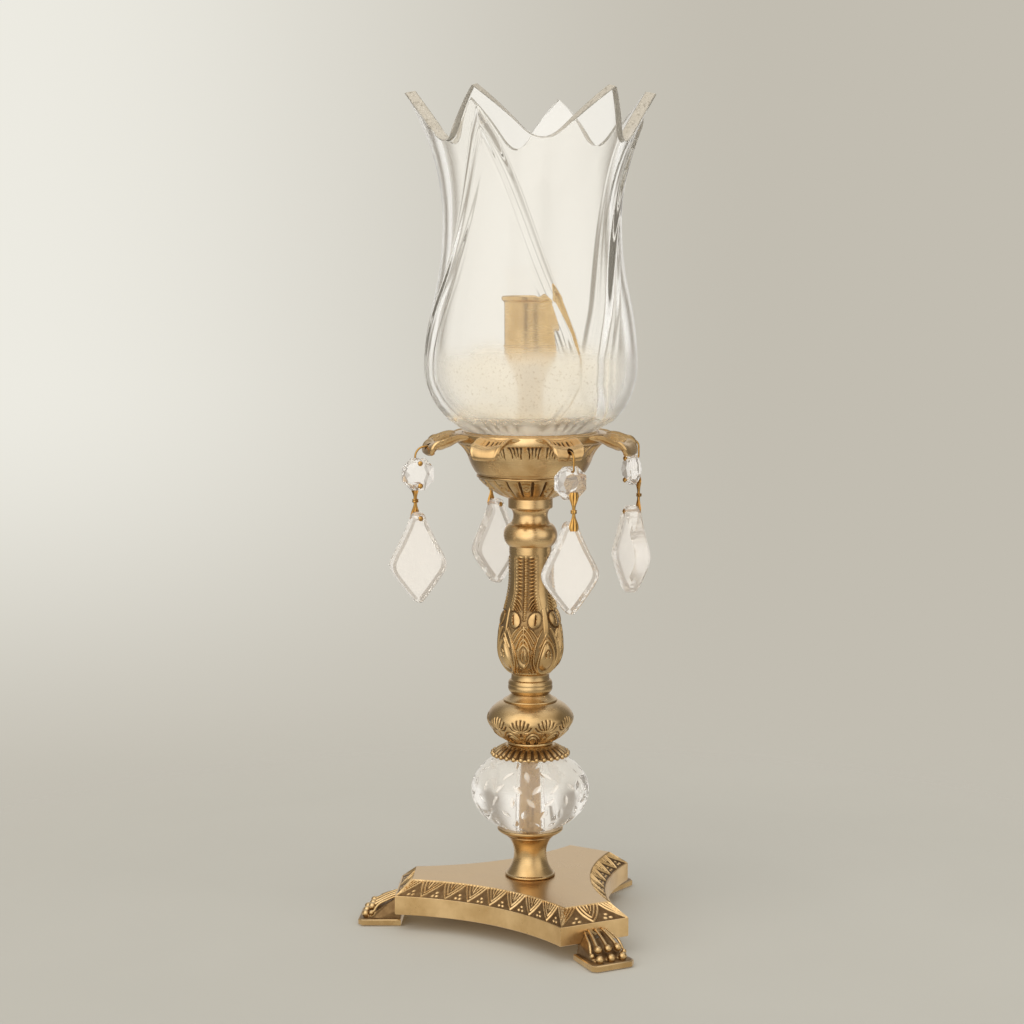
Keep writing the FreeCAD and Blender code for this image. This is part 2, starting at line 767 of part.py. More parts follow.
start = Rotation(Vector(0, 0, 1), first + value("gadroon_end"))
groove.Placement = Placement(centre, standing.multiply(start))
around(cup, "cup_grooves_round", groove, "gadroons")
place(cup, cup_at)

# bowl and leaf arms in one casting: the arms are a curled skirt, opened between the leaves
bowl = new_body("leaf_bowl")
bend_in = "leaf_bend-leaf_thickness"
sketch = sketch_in(bowl, "bowl_profile", "XZ_Plane", [
    (bore, "0", None), ("bowl_foot", "0", "bowl_swell"), ("bowl_mid", "bowl_mid_at", "-bowl_flare"),
    ("bowl_rim", "bowl_rim_at", None),
    ("leaf_reach-leaf_bend", "leaf_crest-leaf_thickness", "-" + upright("1", "1")),
    ("leaf_reach-leaf_thickness", "leaf_crest-leaf_bend", None),
    ("leaf_reach-leaf_thickness", "leaf_tip_at", None), ("leaf_reach", "leaf_tip_at", None),
    ("leaf_reach", "leaf_crest-leaf_bend", upright("1", "1")),
    ("leaf_reach-leaf_bend", "leaf_crest", None),
    ("rebate_radius+rim_land", "rim_top", None), ("rebate_radius", "rim_top", None),
    ("rebate_radius", "rebate_at", None), ("rebate_radius-rebate_ledge", "rebate_at", "bowl_hollow"),
    ("bowl_inside", "bowl_floor", None), (bore, "bowl_floor", None)])
casting = feature(bowl, "Revolution", "bowl_turning", sketch, Angle=360)
casting.ReferenceAxis = (sketch, ["V_Axis"])
step = math.pi / value("leaf_count")
gap_out = "leaf_reach+gap_spare"
gap_mid = "leaf_root+gap_arch"
side_out = "(%s)*%.9f-leaf_half*%.9f" % (gap_out, math.tan(step), 1 / math.cos(step))
side_mid = "(%s)*%.9f-leaf_half*%.9f" % (gap_mid, math.tan(step), 1 / math.cos(step))
gap = sketch_in(bowl, "gap_outline", "XY_Plane", [
    (side_out, gap_out, None), ("-(%s)" % side_out, gap_out, None),
    ("-(%s)" % side_mid, gap_mid, "gap_arch/(%s)" % side_mid), (side_mid, gap_mid, None)])
gap.AttachmentOffset = Placement(Vector(), Rotation(Vector(0, 0, 1), math.degrees(step)))
opening = feature(bowl, "Pocket", "leaf_gap", gap, Length="leaf_crest+gap_spare", Reversed=True)
around(bowl, "leaf_gaps_round", opening, "leaf_count")
hole = sketch_in(bowl, "hook_hole_outline", "YZ_Plane", None, None, [("0", "leaf_hole_at", "leaf_hole")])
hook_hole = feature(bowl, "Pocket", "hook_hole", hole, Length="leaf_reach+gap_spare", Reversed=True)
place(bowl, bowl_at, "0", "0", "head_turn-90")

# four hook holes, on every other leaf
around(bowl, "hook_holes_round", hook_hole, "leaf_count/2")

# seat and candle cup
turned("seat_plate", [
    (bore, "0", None), ("rebate_radius-plate_clear", "0", None),
    ("rebate_radius-plate_clear", "plate_height-plate_edge", None),
    ("rebate_radius-plate_clear-plate_edge", "plate_height", None), (bore, "plate_height", None)], plate_at)
stem_lip = "pedestal_stem+pedestal_lip"
tenon_top = "pedestal_height+candle_floor-tenon_gap"
turned("cup_pedestal", [
    ("rod_radius+thread_clear", "0", None), ("pedestal_flange", "0", None),
    ("pedestal_flange", "pedestal_flange_height", None),
    (stem_lip, "pedestal_flange_height",
     "-" + upright("pedestal_lip", "pedestal_stem_at-pedestal_flange_height")),
    ("pedestal_stem", "pedestal_stem_at",
     "-" + upright("pedestal_head-pedestal_stem", "pedestal_height-pedestal_stem_at")),
    ("pedestal_head", "pedestal_height", None), ("tenon_radius", "pedestal_height", None),
    ("tenon_radius", tenon_top, None), ("0", tenon_top, None),
    ("0", "rod_grip+rod_gap", None), ("rod_radius+thread_clear", "rod_grip+rod_gap", None)], shade_at)
cup_top = "candle_floor+candle_depth"
cup_wall = "candle_bore+candle_wall"
turned("candle_cup", [
    ("tenon_radius+thread_clear", "0", None), ("pedestal_head", "0", "candle_swell"),
    (cup_wall, "candle_floor", None), (cup_wall, cup_top + "-candle_rim_height*rim_cove_at", "-rim_cove"),
    ("candle_rim", cup_top + "-candle_rim_height*rim_round_at", "rim_round"),
    ("candle_rim", cup_top, None), ("candle_bore", cup_top, None),
    ("candle_bore", "candle_floor", None), ("tenon_radius+thread_clear", "candle_floor", None)], candle_at)

# petal shade: a turned wall, three raised petals, six notches between the rim tips
shade = new_body("shade_body")
flare = "2*atan((shade_tip-shade_waist)/(shade_tip_at-shade_waist_at))"


def shade_line(shift):
    # outer line of the wall from foot to tip, moved outward by shift
    move = "(%s)" % shift
    belly = upright("shade_belly-shade_foot", "shade_belly_at")
    fall = upright("shade_belly-shade_waist", "shade_waist_at-shade_belly_at")
    rise = upright("shade_tip-shade_waist", "shade_tip_at-shade_waist_at")
    return [
        ("shade_foot+" + move, "0", belly),
        ("shade_belly+" + move, "shade_belly_at", fall),
        ("(shade_belly+shade_waist)/2+" + move, "(shade_belly_at+shade_waist_at)/2", "-" + fall),
        ("shade_waist+" + move, "shade_waist_at", "-" + rise),
        ("shade_tip+%s*cos(%s)" % (move, flare), "shade_tip_at-%s*sin(%s)" % (move, flare), None),
    ]


def back(line):
    # the same line run from tip to foot
    out = []
    for i in range(len(line) - 1, -1, -1):
        bulge = line[i - 1][2] if i > 0 else None
        if bulge is not None:
            bulge = bulge[1:] if bulge.startswith("-") else "-" + bulge
        out.append((line[i][0], line[i][1], bulge))
    return out


outside = shade_line("0")
inside = back(shade_line("-shade_wall"))
inner_belly = upright("shade_belly-shade_foot", "shade_belly_at-shade_floor")
inside[-2] = (inside[-2][0], inside[-2][1], "-" + inner_belly)
inside[-1] = ("shade_foot-shade_wall", "shade_floor", None)
wall_sketch = sketch_in(shade, "shade_profile", "XZ_Plane", outside + inside + [
    ("shade_open", "shade_floor", None), ("shade_open", "0", None)])
wall = feature(shade, "Revolution", "shade_turning", wall_sketch, Angle=360)
wall.ReferenceAxis = (wall_sketch, ["V_Axis"])

skin = new_body("petal_skin_body")
skin_sketch = sketch_in(skin, "petal_skin_profile", "XZ_Plane",
                        shade_line("petal_skin") + back(shade_line("-shade_wall/2")))
skin_turn = feature(skin, "Revolution", "petal_skin_turning", skin_sketch, Angle=360)
skin_turn.ReferenceAxis = (skin_sketch, ["V_Axis"])
reach = "shade_tip+petal_spare"
petal_line = [
    ("0", "petal_point_at"), ("petal_shoulder", "petal_shoulder_at"), ("petal_half", "petal_wide_at"),
    ("petal_foot", "-petal_below")]
petals = []
for third in range(3):
    outline = new_body("petal_outline_%d" % third)
    shape = mirrored(petal_line)
    for i, swell in ((1, "upper"), (2, "lower"), (4, "lower"), (5, "upper")):
        shape[i] = (shape[i][0], shape[i][1], "-petal_%s_swell" % swell)
    sketch = sketch_in(outline, "petal_line_%d" % third, "YZ_Plane", shape)
    feature(outline, "Pad", "petal_pad_%d" % third, sketch, Length=reach)
    outline.Placement = Placement(Vector(), Rotation(Vector(0, 0, 1), 120 * third))
    petal = doc.addObject("Part::Common", "petal_%d" % third)
    petal.Base = skin
    petal.Tool = outline
    petals.append(petal)
blown = doc.addObject("Part::MultiFuse", "blown_shade")
blown.Shapes = [shade] + petals
notches = []
notch_floor = "shade_tip_at-notch_depth+notch_root*notch_round"
tip_count = int(value("petal_count"))
for k in range(tip_count):
    here = "tip_%d" % (k + 1)
    there = "tip_%d" % (k + 2) if k + 1 < tip_count else "tip_1+360"
    half = "shade_tip*sin((%s-%s)/2)-tip_flat" % (there, here)
    notch = new_body("notch_%d" % k)
    sketch = sketch_in(notch, "notch_line_%d" % k, "YZ_Plane", [
        ("-(%s)" % half, "shade_tip_at", None), ("-notch_root", notch_floor, "notch_round"),
        ("notch_root", notch_floor, None), (half, "shade_tip_at", None),
        (half + "+notch_side", "shade_tip_at+notch_above", None),
        ("-(%s)-notch_side" % half, "shade_tip_at+notch_above", None)])
    feature(notch, "Pad", "notch_pad_%d" % k, sketch, Length=reach)
    middle = value("(%s+%s)/2" % (there, here))
    notch.Placement = Placement(Vector(), Rotation(Vector(0, 0, 1), middle))
    notches.append(notch)
crown_cut = doc.addObject("Part::Compound", "rim_notches")
crown_cut.Links = notches
glass = doc.addObject("Part::Cut", "glass_shade")
glass.Label = "glass_shade"
glass.Base = blown
glass.Tool = crown_cut
place(glass, shade_at, "0", "0", "petal_turn-90")

# crystal chains: hook, octagon, bow-tie link and kite drop, one local frame each
hook_reach = "leaf_reach-leaf_thickness/2"
hook_at = bowl_at + "+leaf_hole_at"
crystal_face = "octagon_height/2+pin_clear"
shank_gap = crystal_face + "+wire_radius"


def wire_hook(swing, bend, drop):
    # bent wire: tail behind the leaf, bend over its tip, foot and pin along the facing
    tail = value("hook_tail")
    foot = value("hook_foot")
    thick = value("wire_radius")
    pin = value(shank_gap + "+" + crystal_face)
    face = Vector(math.cos(math.radians(swing)), math.sin(math.radians(swing)), 0)
    quarter = math.sqrt(0.5)
    start = Vector(-tail, 0, -foot)
    turn_1 = Vector(-tail + foot, 0, 0)
    mid_1 = Vector(-tail + foot - foot * quarter, 0, -foot + foot * quarter)
    crest = Vector(0, 0, 0)
    mid_2 = Vector(bend * quarter, 0, -bend + bend * quarter)
    side = Vector(bend, 0, -bend)
    low = Vector(bend, 0, -drop + foot)
    mid_3 = low + face * (foot - foot * quarter) + Vector(0, 0, -foot * quarter)
    toe = low + face * foot + Vector(0, 0, -foot)
    end = low + face * pin + Vector(0, 0, -foot)
    edges = [
        Part.Arc(start, mid_1, turn_1).toShape(), Part.makeLine(turn_1, crest),
        Part.Arc(crest, mid_2, side).toShape(), Part.makeLine(side, low),
        Part.Arc(low, mid_3, toe).toShape(), Part.makeLine(toe, end)]
    path = Part.Wire(edges)
    ring = Part.Wire([Part.Circle(start, Vector(0, 0, 1), thick).toShape()])
    wire = path.makePipeShell([ring], True, True)
    head = Part.makeCylinder(value("pin_head"), value("pin_head_height"), end, face)
    return wire.fuse(head).removeSplitter()


def octagon_outline(half):
    out = []
    for k in range(8):
        a = math.radians(45 * k + 22.5)
        x = "(%s)*(%.9f)" % (half, math.cos(a) / math.cos(math.pi / 8))
        y = "(%s)*(%.9f)-(octagon_half-hole_inset)" % (half, math.sin(a) / math.cos(math.pi / 8))
        out.append((x, y, None))
    return out


def cut_crystal(label, girdle, table, girdle_height, height, holes):
    # a girdle with a sloping facet to a smaller table on each side
    body = new_body(label)
    sections = []
    levels = ((table, "-(%s)/2" % height), (girdle, "-(%s)/2" % girdle_height),
              (girdle, "(%s)/2" % girdle_height), (table, "(%s)/2" % height))
    for i, (outline, offset) in enumerate(levels):
        sections.append(sketch_in(body, "%s_level_%d" % (label, i), "YZ_Plane", outline, offset))
    stone = feature(body, "AdditiveLoft", label + "_stone", sections[0], Ruled=True)
    stone.Sections = sections[1:]
    for section in sections:
        section.Visibility = False
    drill = sketch_in(body, label + "_drill", "YZ_Plane", None, None, holes)
    feature(body, "Pocket", label + "_holes", drill, Length="3*(%s)" % height, SideType="Symmetric")
    return body


def bow_tie(label):
    body = new_body(label)
    back_face = "-(%s)-link_thickness" % crystal_face
    end = "link_half"
    bar = [
        ("-link_fan", end, None), ("link_fan", end, None), ("link_waist", "-link_length/2", None),
        ("link_fan", "-link_length-link_half", None), ("-link_fan", "-link_length-link_half", None),
        ("-link_waist", "-link_length/2", None)]
    strip = sketch_in(body, label + "_bar", "YZ_Plane", bar, back_face)
    feature(body, "Pad", label + "_strip", strip, Length="link_thickness")
    ends = [("0", "0", "prong_radius"), ("0", "-link_length", "prong_radius")]
    prongs = sketch_in(body, label + "_prong_outline", "YZ_Plane", None, back_face, ends)
    feature(body, "Pad", label + "_prongs", prongs, Length="2*(%s)+link_thickness" % crystal_face)
    caps = [("0", "0", "pin_head"), ("0", "-link_length", "pin_head")]
    heads = sketch_in(body, label + "_head_outline", "YZ_Plane", None, crystal_face, caps)
    feature(body, "Pad", label + "_heads", heads, Length="pin_head_height")
    knot = body.newObject("PartDesign::AdditiveSphere", label + "_knot")
    knot.setExpression("Radius", named("link_knot"))
    knot.setExpression("Placement.Base.x", named(back_face + "+link_thickness/2"))
    knot.setExpression("Placement.Base.z", named("-link_length/2"))
    return body


kite_top = "drop_hole_inset"
kite_wide = kite_top + "-drop_wide_at"
kite = mirrored([
    ("drop_top*drop_top_share", kite_top), ("drop_top", kite_top + "-drop_shoulder"),
    ("drop_half-drop_upper_cut", kite_wide + "+drop_corner"), ("drop_half", kite_wide),
    ("drop_half-drop_lower_cut", kite_wide + "-drop_corner"), ("drop_tail", kite_top + "-drop_tail_at"),
    ("drop_tail*drop_tip_share", kite_top + "-drop_height")])
kite_table = scaled(kite, "drop_table", kite_wide + "+drop_table_shift")
for k in range(4):
    number = k + 1
    arm = "(head_turn+%d)" % (90 * k)
    face = "facing_%d" % number
    hook = doc.addObject("Part::Feature", "hook_%d" % number)
    hook.Label = "hook_%d" % number
    bend = "hook_bend_4" if number == 4 else "hook_bend"
    fall = "hook_drop_4" if number == 4 else "hook_drop"
    hook.Shape = wire_hook(value(face + "-" + arm), value(bend), value(fall))
    hole_across = "(%s)*sin(%s)" % (hook_reach, arm)
    hole_along = "-(%s)*cos(%s)" % (hook_reach, arm)
    place(hook, hook_at, hole_across, hole_along, arm + "-90")
    across = "(%s+%s)*sin(%s)+(%s)*sin(%s)" % (hook_reach, bend, arm, shank_gap, face)
    along = "-(%s+%s)*cos(%s)-(%s)*cos(%s)" % (hook_reach, bend, arm, shank_gap, face)
    turn = face + "-90"
    octagon_at = hook_at + "-" + fall
    link_at = octagon_at + "-2*(octagon_half-hole_inset)"
    drop_at = link_at + "-link_length"
    girdle = octagon_outline("octagon_half")
    table = octagon_outline("octagon_table")
    stone = cut_crystal("octagon_%d" % number, girdle, table, "girdle_height", "octagon_height",
                        [("0", "0", "crystal_hole"), ("0", "-2*(octagon_half-hole_inset)", "crystal_hole")])
    place(stone, octagon_at, across, along, turn)
    place(bow_tie("link_%d" % number), link_at, across, along, turn)
    stone = cut_crystal("drop_%d" % number, kite, kite_table, "drop_girdle", "drop_thickness",
                        [("0", "0", "crystal_hole")])
    place(stone, drop_at, across, along, turn)


def finish_check():
    doc.recompute()
    bad = []
    for item in doc.Objects:
        if "Invalid" in item.State or "Error" in item.State:
            bad.append(item.Name)
    for part in made:
        if part.Shape.isNull() or not part.Shape.isValid():
            bad.append(part.Label)
    if bad:
        raise RuntimeError("not built: " + ", ".join(bad))


finish_check()
os.makedirs("parts", exist_ok=True)
for part in made:
    part.Shape.exportStep("parts/%s.step" % part.Label)
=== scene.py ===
import math
import bpy
import bmesh
import numpy as np
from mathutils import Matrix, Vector


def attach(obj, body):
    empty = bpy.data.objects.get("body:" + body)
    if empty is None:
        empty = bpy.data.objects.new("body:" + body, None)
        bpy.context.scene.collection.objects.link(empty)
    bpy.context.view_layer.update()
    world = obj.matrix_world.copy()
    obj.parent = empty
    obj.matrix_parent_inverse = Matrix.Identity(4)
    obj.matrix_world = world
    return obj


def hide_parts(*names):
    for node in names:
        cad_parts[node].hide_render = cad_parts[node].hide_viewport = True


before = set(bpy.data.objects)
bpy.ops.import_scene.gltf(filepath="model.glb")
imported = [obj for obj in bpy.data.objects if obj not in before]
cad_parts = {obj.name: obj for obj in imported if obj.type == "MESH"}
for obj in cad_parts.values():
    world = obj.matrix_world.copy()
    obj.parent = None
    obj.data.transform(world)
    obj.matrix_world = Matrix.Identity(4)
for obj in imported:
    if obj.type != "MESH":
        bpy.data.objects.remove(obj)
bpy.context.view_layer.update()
mm = 0.001
print("frame loaded,", len(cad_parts), "nodes")


# ways of drawing a section

def upright(run, rise):  # bulge of an arc that stands upright at one end
    return math.tan(math.atan(run / rise) / 2)


def section(points, step=0.4):  # open line of (r, z, bulge to the next point), as a dense list
    out = []
    for here, there in zip(points, points[1:]):
        p = np.array(here[:2], float)
        q = np.array(there[:2], float)
        chord = q - p
        length = float(np.hypot(*chord))
        bulge = here[2] if len(here) > 2 else 0
        if abs(bulge) < 1e-6:
            count = max(1, math.ceil(length / step))
            out += [p + chord * (i / count) for i in range(count)]
            continue
        sweep = 4 * math.atan(bulge)
        centre = (p + q) / 2 + np.array([-chord[1], chord[0]]) / (2 * math.tan(sweep / 2))
        count = max(3, math.ceil(length * (1 + abs(bulge)) / step))
        arm = p - centre
        for i in range(count):
            a = sweep * i / count
            out.append(centre + [arm[0] * math.cos(a) - arm[1] * math.sin(a),
                                 arm[0] * math.sin(a) + arm[1] * math.cos(a)])
    out.append(np.array(points[-1][:2], float))
    return np.array(out)


def smooth(x, low, high):  # soft step from 0 at low to 1 at high
    t = np.clip((x - low) / (high - low), 0, 1)
    return t * t * (3 - 2 * t)


def bump(distance, width):  # rounded ridge
    t = np.clip(np.abs(distance) / width, 0, 1)
    return (1 - t * t) ** 2


def strokeHeight(x, y, points, width):  # ridge along a line of points, width may taper as (start, end)
    wide = width if isinstance(width, tuple) else (width, width)
    best = np.zeros(np.broadcast(x, y).shape)
    steps = len(points) - 1
    for i in range(steps):
        (ax, ay), (bx, by) = points[i], points[i + 1]
        dx, dy = bx - ax, by - ay
        t = np.clip(((x - ax) * dx + (y - ay) * dy) / (dx * dx + dy * dy + 1e-9), 0, 1)
        away = np.hypot(x - ax - t * dx, y - ay - t * dy)
        w = wide[0] + (wide[1] - wide[0]) * (i + t) / steps
        best = np.maximum(best, bump(away, w))
    return best


def curve(points, count=10):  # smooth line through a few points
    p = np.array([points[0]] + list(points) + [points[-1]], float)
    out = []
    for i in range(1, len(p) - 2):
        for k in range(count):
            t = k / count
            a = 2 * p[i]
            b = p[i + 1] - p[i - 1]
            c = 2 * p[i - 1] - 5 * p[i] + 4 * p[i + 1] - p[i + 2]
            d = -p[i - 1] + 3 * p[i] - 3 * p[i + 1] + p[i + 2]
            out.append(tuple(0.5 * (a + b * t + c * t * t + d * t ** 3)))
    out.append(tuple(p[-1]))
    return out


def strokes(x, y, *lines):  # highest of several ridges: share, width, steps of a curve or 0, points
    ridges = []
    for share, width, steps, points in lines:
        line = curve(points, steps) if steps else points
        ridges.append(share * strokeHeight(x, y, line, width))
    return np.maximum.reduce(ridges)


# shapes are points, faces and the clean share of each point

def gridFaces(rows, columns, wrapRows=False):  # quads of a grid that closes across its columns
    i = np.arange(rows if wrapRows else rows - 1)[:, None]
    j = np.arange(columns)[None, :]
    n = (i + 1) % rows
    k = (j + 1) % columns
    quad = np.stack([i * columns + j, i * columns + k, n * columns + k, n * columns + j], -1)
    return quad.reshape(-1, 4).tolist()


def cappedGrid(rows, columns):  # the same with a flat face at each end
    return gridFaces(rows, columns) + [
        tuple(reversed(range(columns))), tuple(range((rows - 1) * columns, rows * columns))]


def joined(*shapes):
    points, faces, clean = [], [], []
    start = 0
    for p, f, c in shapes:
        points.append(p)
        faces += [tuple(i + start for i in face) for face in f]
        clean.append(c)
        start += len(p)
    return np.vstack(points), faces, np.concatenate(clean)


def lifted(shape, height):
    points, faces, clean = shape
    return points + (0, 0, height), faces, clean


def bearingXY(angle):  # unit vector of a bearing, from -Y towards +X
    return np.array([math.sin(math.radians(angle)), -math.cos(math.radians(angle))])


def placed(shape, angle, at=(0, 0, 0)):  # local +X turned to a bearing, moved to a point
    points, faces, clean = shape
    ahead = bearingXY(angle)
    aside = np.array([-ahead[1], ahead[0]])
    spun = points[:, :1] * ahead + points[:, 1:2] * aside
    return np.column_stack([spun + at[:2], points[:, 2] + at[2]]), faces, clean


def readField(items, key, width, kind=np.float32):  # one value or vector of each item
    out = np.empty(len(items) * width, kind)
    items.foreach_get(key, out)
    return out.reshape(-1, width)


def linked(name, data):  # new object in the scene
    made = bpy.data.objects.new(name, data)
    bpy.context.scene.collection.objects.link(made)
    return made


def addPiece(name, shape, body, finish, nodes, sharp=38):
    points, faces, clean = shape
    mesh = bpy.data.meshes.new(name)
    mesh.from_pydata((np.asarray(points, float) * mm).tolist(), [], faces)
    mesh.validate()
    piece = linked(name, mesh)
    layer = mesh.attributes.new("carve", "FLOAT", "POINT")
    layer.data.foreach_set("value", np.asarray(clean, np.float32).ravel())
    mesh.materials.append(finish)
    mesh.polygons.foreach_set("use_smooth", np.ones(len(mesh.polygons), bool))
    mesh.set_sharp_from_angle(angle=math.radians(sharp))
    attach(piece, body)
    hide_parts(*nodes)
    return piece


def turnedGrid(line, close, columns, relief=None):
    # outer line upward, closed by the points of close; relief gives height and clean share
    line = np.asarray(line, float)
    tangent = np.gradient(line, axis=0)
    tangent /= np.hypot(tangent[:, 0], tangent[:, 1])[:, None] + 1e-9
    normal = np.stack([tangent[:, 1], -tangent[:, 0]], -1)
    theta = np.arange(columns) * 2 * math.pi / columns
    r = np.repeat(line[:, :1], columns, 1)
    z = np.repeat(line[:, 1:], columns, 1)
    clean = np.ones_like(r)
    if relief:
        height, clean = relief(theta[None, :], line[:, :1], line[:, 1:])
        height = np.broadcast_to(height, r.shape)
        clean = np.broadcast_to(clean, r.shape)
        r = r + height * normal[:, :1]
        z = z + height * normal[:, 1:]
    tail = np.asarray(close, float)
    r = np.vstack([r, np.repeat(tail[:, :1], columns, 1)])
    z = np.vstack([z, np.repeat(tail[:, 1:], columns, 1)])
    clean = np.vstack([clean, np.ones((len(tail), columns))])
    points = np.stack([r * np.sin(theta), -r * np.cos(theta), z], -1).reshape(-1, 3)
    return points, gridFaces(len(r), columns, wrapRows=True), clean.ravel()


def turnedPiece(name, node, line, close, base, finish, columns=160, relief=None):
    shape = lifted(turnedGrid(line, close, columns, relief), base)
    addPiece(name, shape, "stand", finish, (node,))


# finishes

class Wire:  # one socket, with the maths that the finishes use
    def __init__(self, tree, socket):
        self.tree = tree
        self.socket = socket

    def sum(self, operation, first, second):
        node = self.tree.nodes.new("ShaderNodeMath")
        node.operation = operation
        for spot, item in enumerate((first, second)):
            feed(self.tree, node.inputs[spot], item)
        return Wire(self.tree, node.outputs[0])

    def __add__(self, other):
        return self.sum("ADD", self, other)

    def __radd__(self, other):
        return self.sum("ADD", other, self)

    def __sub__(self, other):
        return self.sum("SUBTRACT", self, other)

    def __rsub__(self, other):
        return self.sum("SUBTRACT", other, self)

    def __mul__(self, other):
        return self.sum("MULTIPLY", self, other)

    def __rmul__(self, other):
        return self.sum("MULTIPLY", other, self)


def feed(tree, socket, item):
    if isinstance(item, Wire):
        tree.links.new(item.socket, socket)
    elif item is not None:
        socket.default_value = item


class Finish:  # a material or world tree
    def __init__(self, owner):
        owner.use_nodes = True
        self.owner = owner
        self.tree = owner.node_tree
        self.tree.nodes.clear()

    def add(self, kind, settings=None, sockets=None, out=0):
        node = self.tree.nodes.new("ShaderNode" + kind)
        for key, setting in (settings or {}).items():
            setattr(node, key, setting)
        for key, item in (sockets or {}).items():
            feed(self.tree, node.inputs[key], item)
        return Wire(self.tree, node.outputs[out]) if node.outputs else None

    def mix(self, factor, first, second):  # two colours
        return self.add("Mix", {"data_type": "RGBA"}, {0: factor, 6: first, 7: second}, 2)


def material(name):
    return Finish(bpy.data.materials.new(name))


def colour(r, g, b):  # written as seen on screen, stored as light
    def light(c):
        c = c / 255
        return c / 12.92 if c <= 0.04045 else ((c + 0.055) / 1.055) ** 2.4
    return (light(r), light(g), light(b), 1)


def noise(f, spot, scale, detail, rough):
    return f.add("TexNoise", None, {"Vector": spot, "Scale": scale, "Detail": detail, "Roughness": rough})


def ranged(f, value, low, high, start=0.0, end=1.0, kind="SMOOTHSTEP"):  # low to high becomes start to end
    return f.add("MapRange", {"interpolation_type": kind}, {
        "Value": value, "From Min": low, "From Max": high, "To Min": start, "To Max": end})


def brassFinish(name, look):
    f = material(name)
    spot = f.add("TexCoord", out=3)
    carve = f.add("Attribute", {"attribute_name": "carve"}, out=2)
    cloud = noise(f, spot, 60, 4, 0.6)
    fleck = noise(f, spot, 420, 3, 0.6)
    line = noise(f, f.add("Mapping", None, {"Vector": spot, "Scale": look["stretch"]}), 1, 2, 0.5)
    # below one the carve share darkens towards the patina colour, which also serves as painted shade
    # between the toes and under the bowl's rim
    freeOfPatinaAndShade = ranged(f, carve + (fleck - 0.5) * 0.3, *look["shadeAndPatinaSpan"])
    metal = f.mix(ranged(f, cloud, 0.3, 0.7, kind="LINEAR"), look["low"], look["high"])
    # painted sheen: faces that look up are made paler, standing in for the bright light they reflect
    upward = f.add("SeparateXYZ", None, {"Vector": f.add("NewGeometry", out=1)}, 2)
    pale = ranged(f, upward, 0.55, 1.0, 0.0, look["pale"])
    skin = f.mix(freeOfPatinaAndShade, look["patinaAndShade"], f.mix(pale, metal, look["top"]))
    rough = look["rough"] + (cloud - 0.5) * 0.12 + (line - 0.5) * 0.10 + (1 - freeOfPatinaAndShade) * 0.15
    ripple = f.add("Bump", None, {
        "Strength": look["brush"], "Distance": 0.00012, "Height": line + fleck * 0.5})
    shader = f.add("BsdfPrincipled", None, {
        "Base Color": skin, "Roughness": rough, "Metallic": 0.8 + freeOfPatinaAndShade * 0.2, "Normal": ripple})
    f.add("OutputMaterial", None, {"Surface": shader})
    return f.owner


# the top colour and its share are a painted sheen laid on faces that look up
brassLook = {
    "low": colour(172, 139, 92), "high": colour(208, 177, 128), "patinaAndShade": colour(98, 72, 42),
    "top": colour(222, 201, 166), "pale": 0.35, "rough": 0.26, "shadeAndPatinaSpan": (0.02, 0.62), "brush": 0.2,
    "stretch": (90, 90, 2600)}
antiqueBrass = brassFinish("antiqueBrass", brassLook)
brushedBrass = brassFinish("brushedBrass", dict(
    brassLook, low=colour(192, 156, 104), high=colour(228, 195, 144), top=colour(210, 182, 140), pale=0.8,
    rough=0.30, brush=0.28, stretch=(2400, 120, 300)))
# painted light: two lighter copies of the same brass, brighter as if better lit, one for the neck and bowl,
# one for the candle cup
litBrass = brassFinish("litBrass", dict(brassLook, low=colour(190, 153, 102), high=colour(224, 192, 142)))
litCupBrass = brassFinish("litCupBrass", dict(brassLook, low=colour(200, 164, 106), high=colour(234, 202, 146)))
wireBrass = brassFinish("wireBrass", dict(
    brassLook, low=colour(168, 124, 64), high=colour(208, 166, 96), patinaAndShade=colour(110, 68, 30), rough=0.24,
    pale=0.1, brush=0.1, stretch=(600, 600, 600)))


def glassFinish(name, look):
    # where the clean share falls below one the glass is ground: rough, under a veil that thins to the
    # sides; the veil glows with painted light
    f = material(name)
    spot = f.add("TexCoord", out=3)
    ground = 1 - f.add("Attribute", {"attribute_name": "carve"}, out=2)
    swirl = noise(f, spot, look["swirl"], 2, 0.4)
    haze = noise(f, spot, 240, 3, 0.6)
    speck = noise(f, spot, 900, 2, 0.5)
    wave = f.add("Bump", None, {"Strength": look["wave"], "Distance": 0.0006, "Height": swirl})
    rough = ranged(f, haze, 0.45, 0.75, 0.0, look["haze"], "LINEAR")
    clear = f.add("BsdfPrincipled", None, {
        "Base Color": look["tint"], "Roughness": rough + ground * look["frost"], "IOR": look["ior"],
        "Transmission Weight": 1.0, "Specular IOR Level": 0.5, "Normal": wave})
    tone = f.mix(ranged(f, speck, 0.25, 0.45, kind="LINEAR"), look["speck"], look["veil"])
    # painted light: the veil gives off its own glow, standing in for light scattered in the glass; the milk
    # share lays it over all the glass
    veil = f.add("BsdfPrincipled", None, {
        "Base Color": tone, "Roughness": 0.5, "Emission Color": tone, "Emission Strength": look["glow"]})
    edge = f.add("LayerWeight", None, {"Blend": 0.5}, 1)
    front = ranged(f, edge, *look["side"], 1.0, 0.08)
    shader = f.add("MixShader", None, {
        0: look["milk"] + ground * front * look["cover"], 1: clear, 2: veil})
    f.add("OutputMaterial", None, {"Surface": shader})
    return f.owner


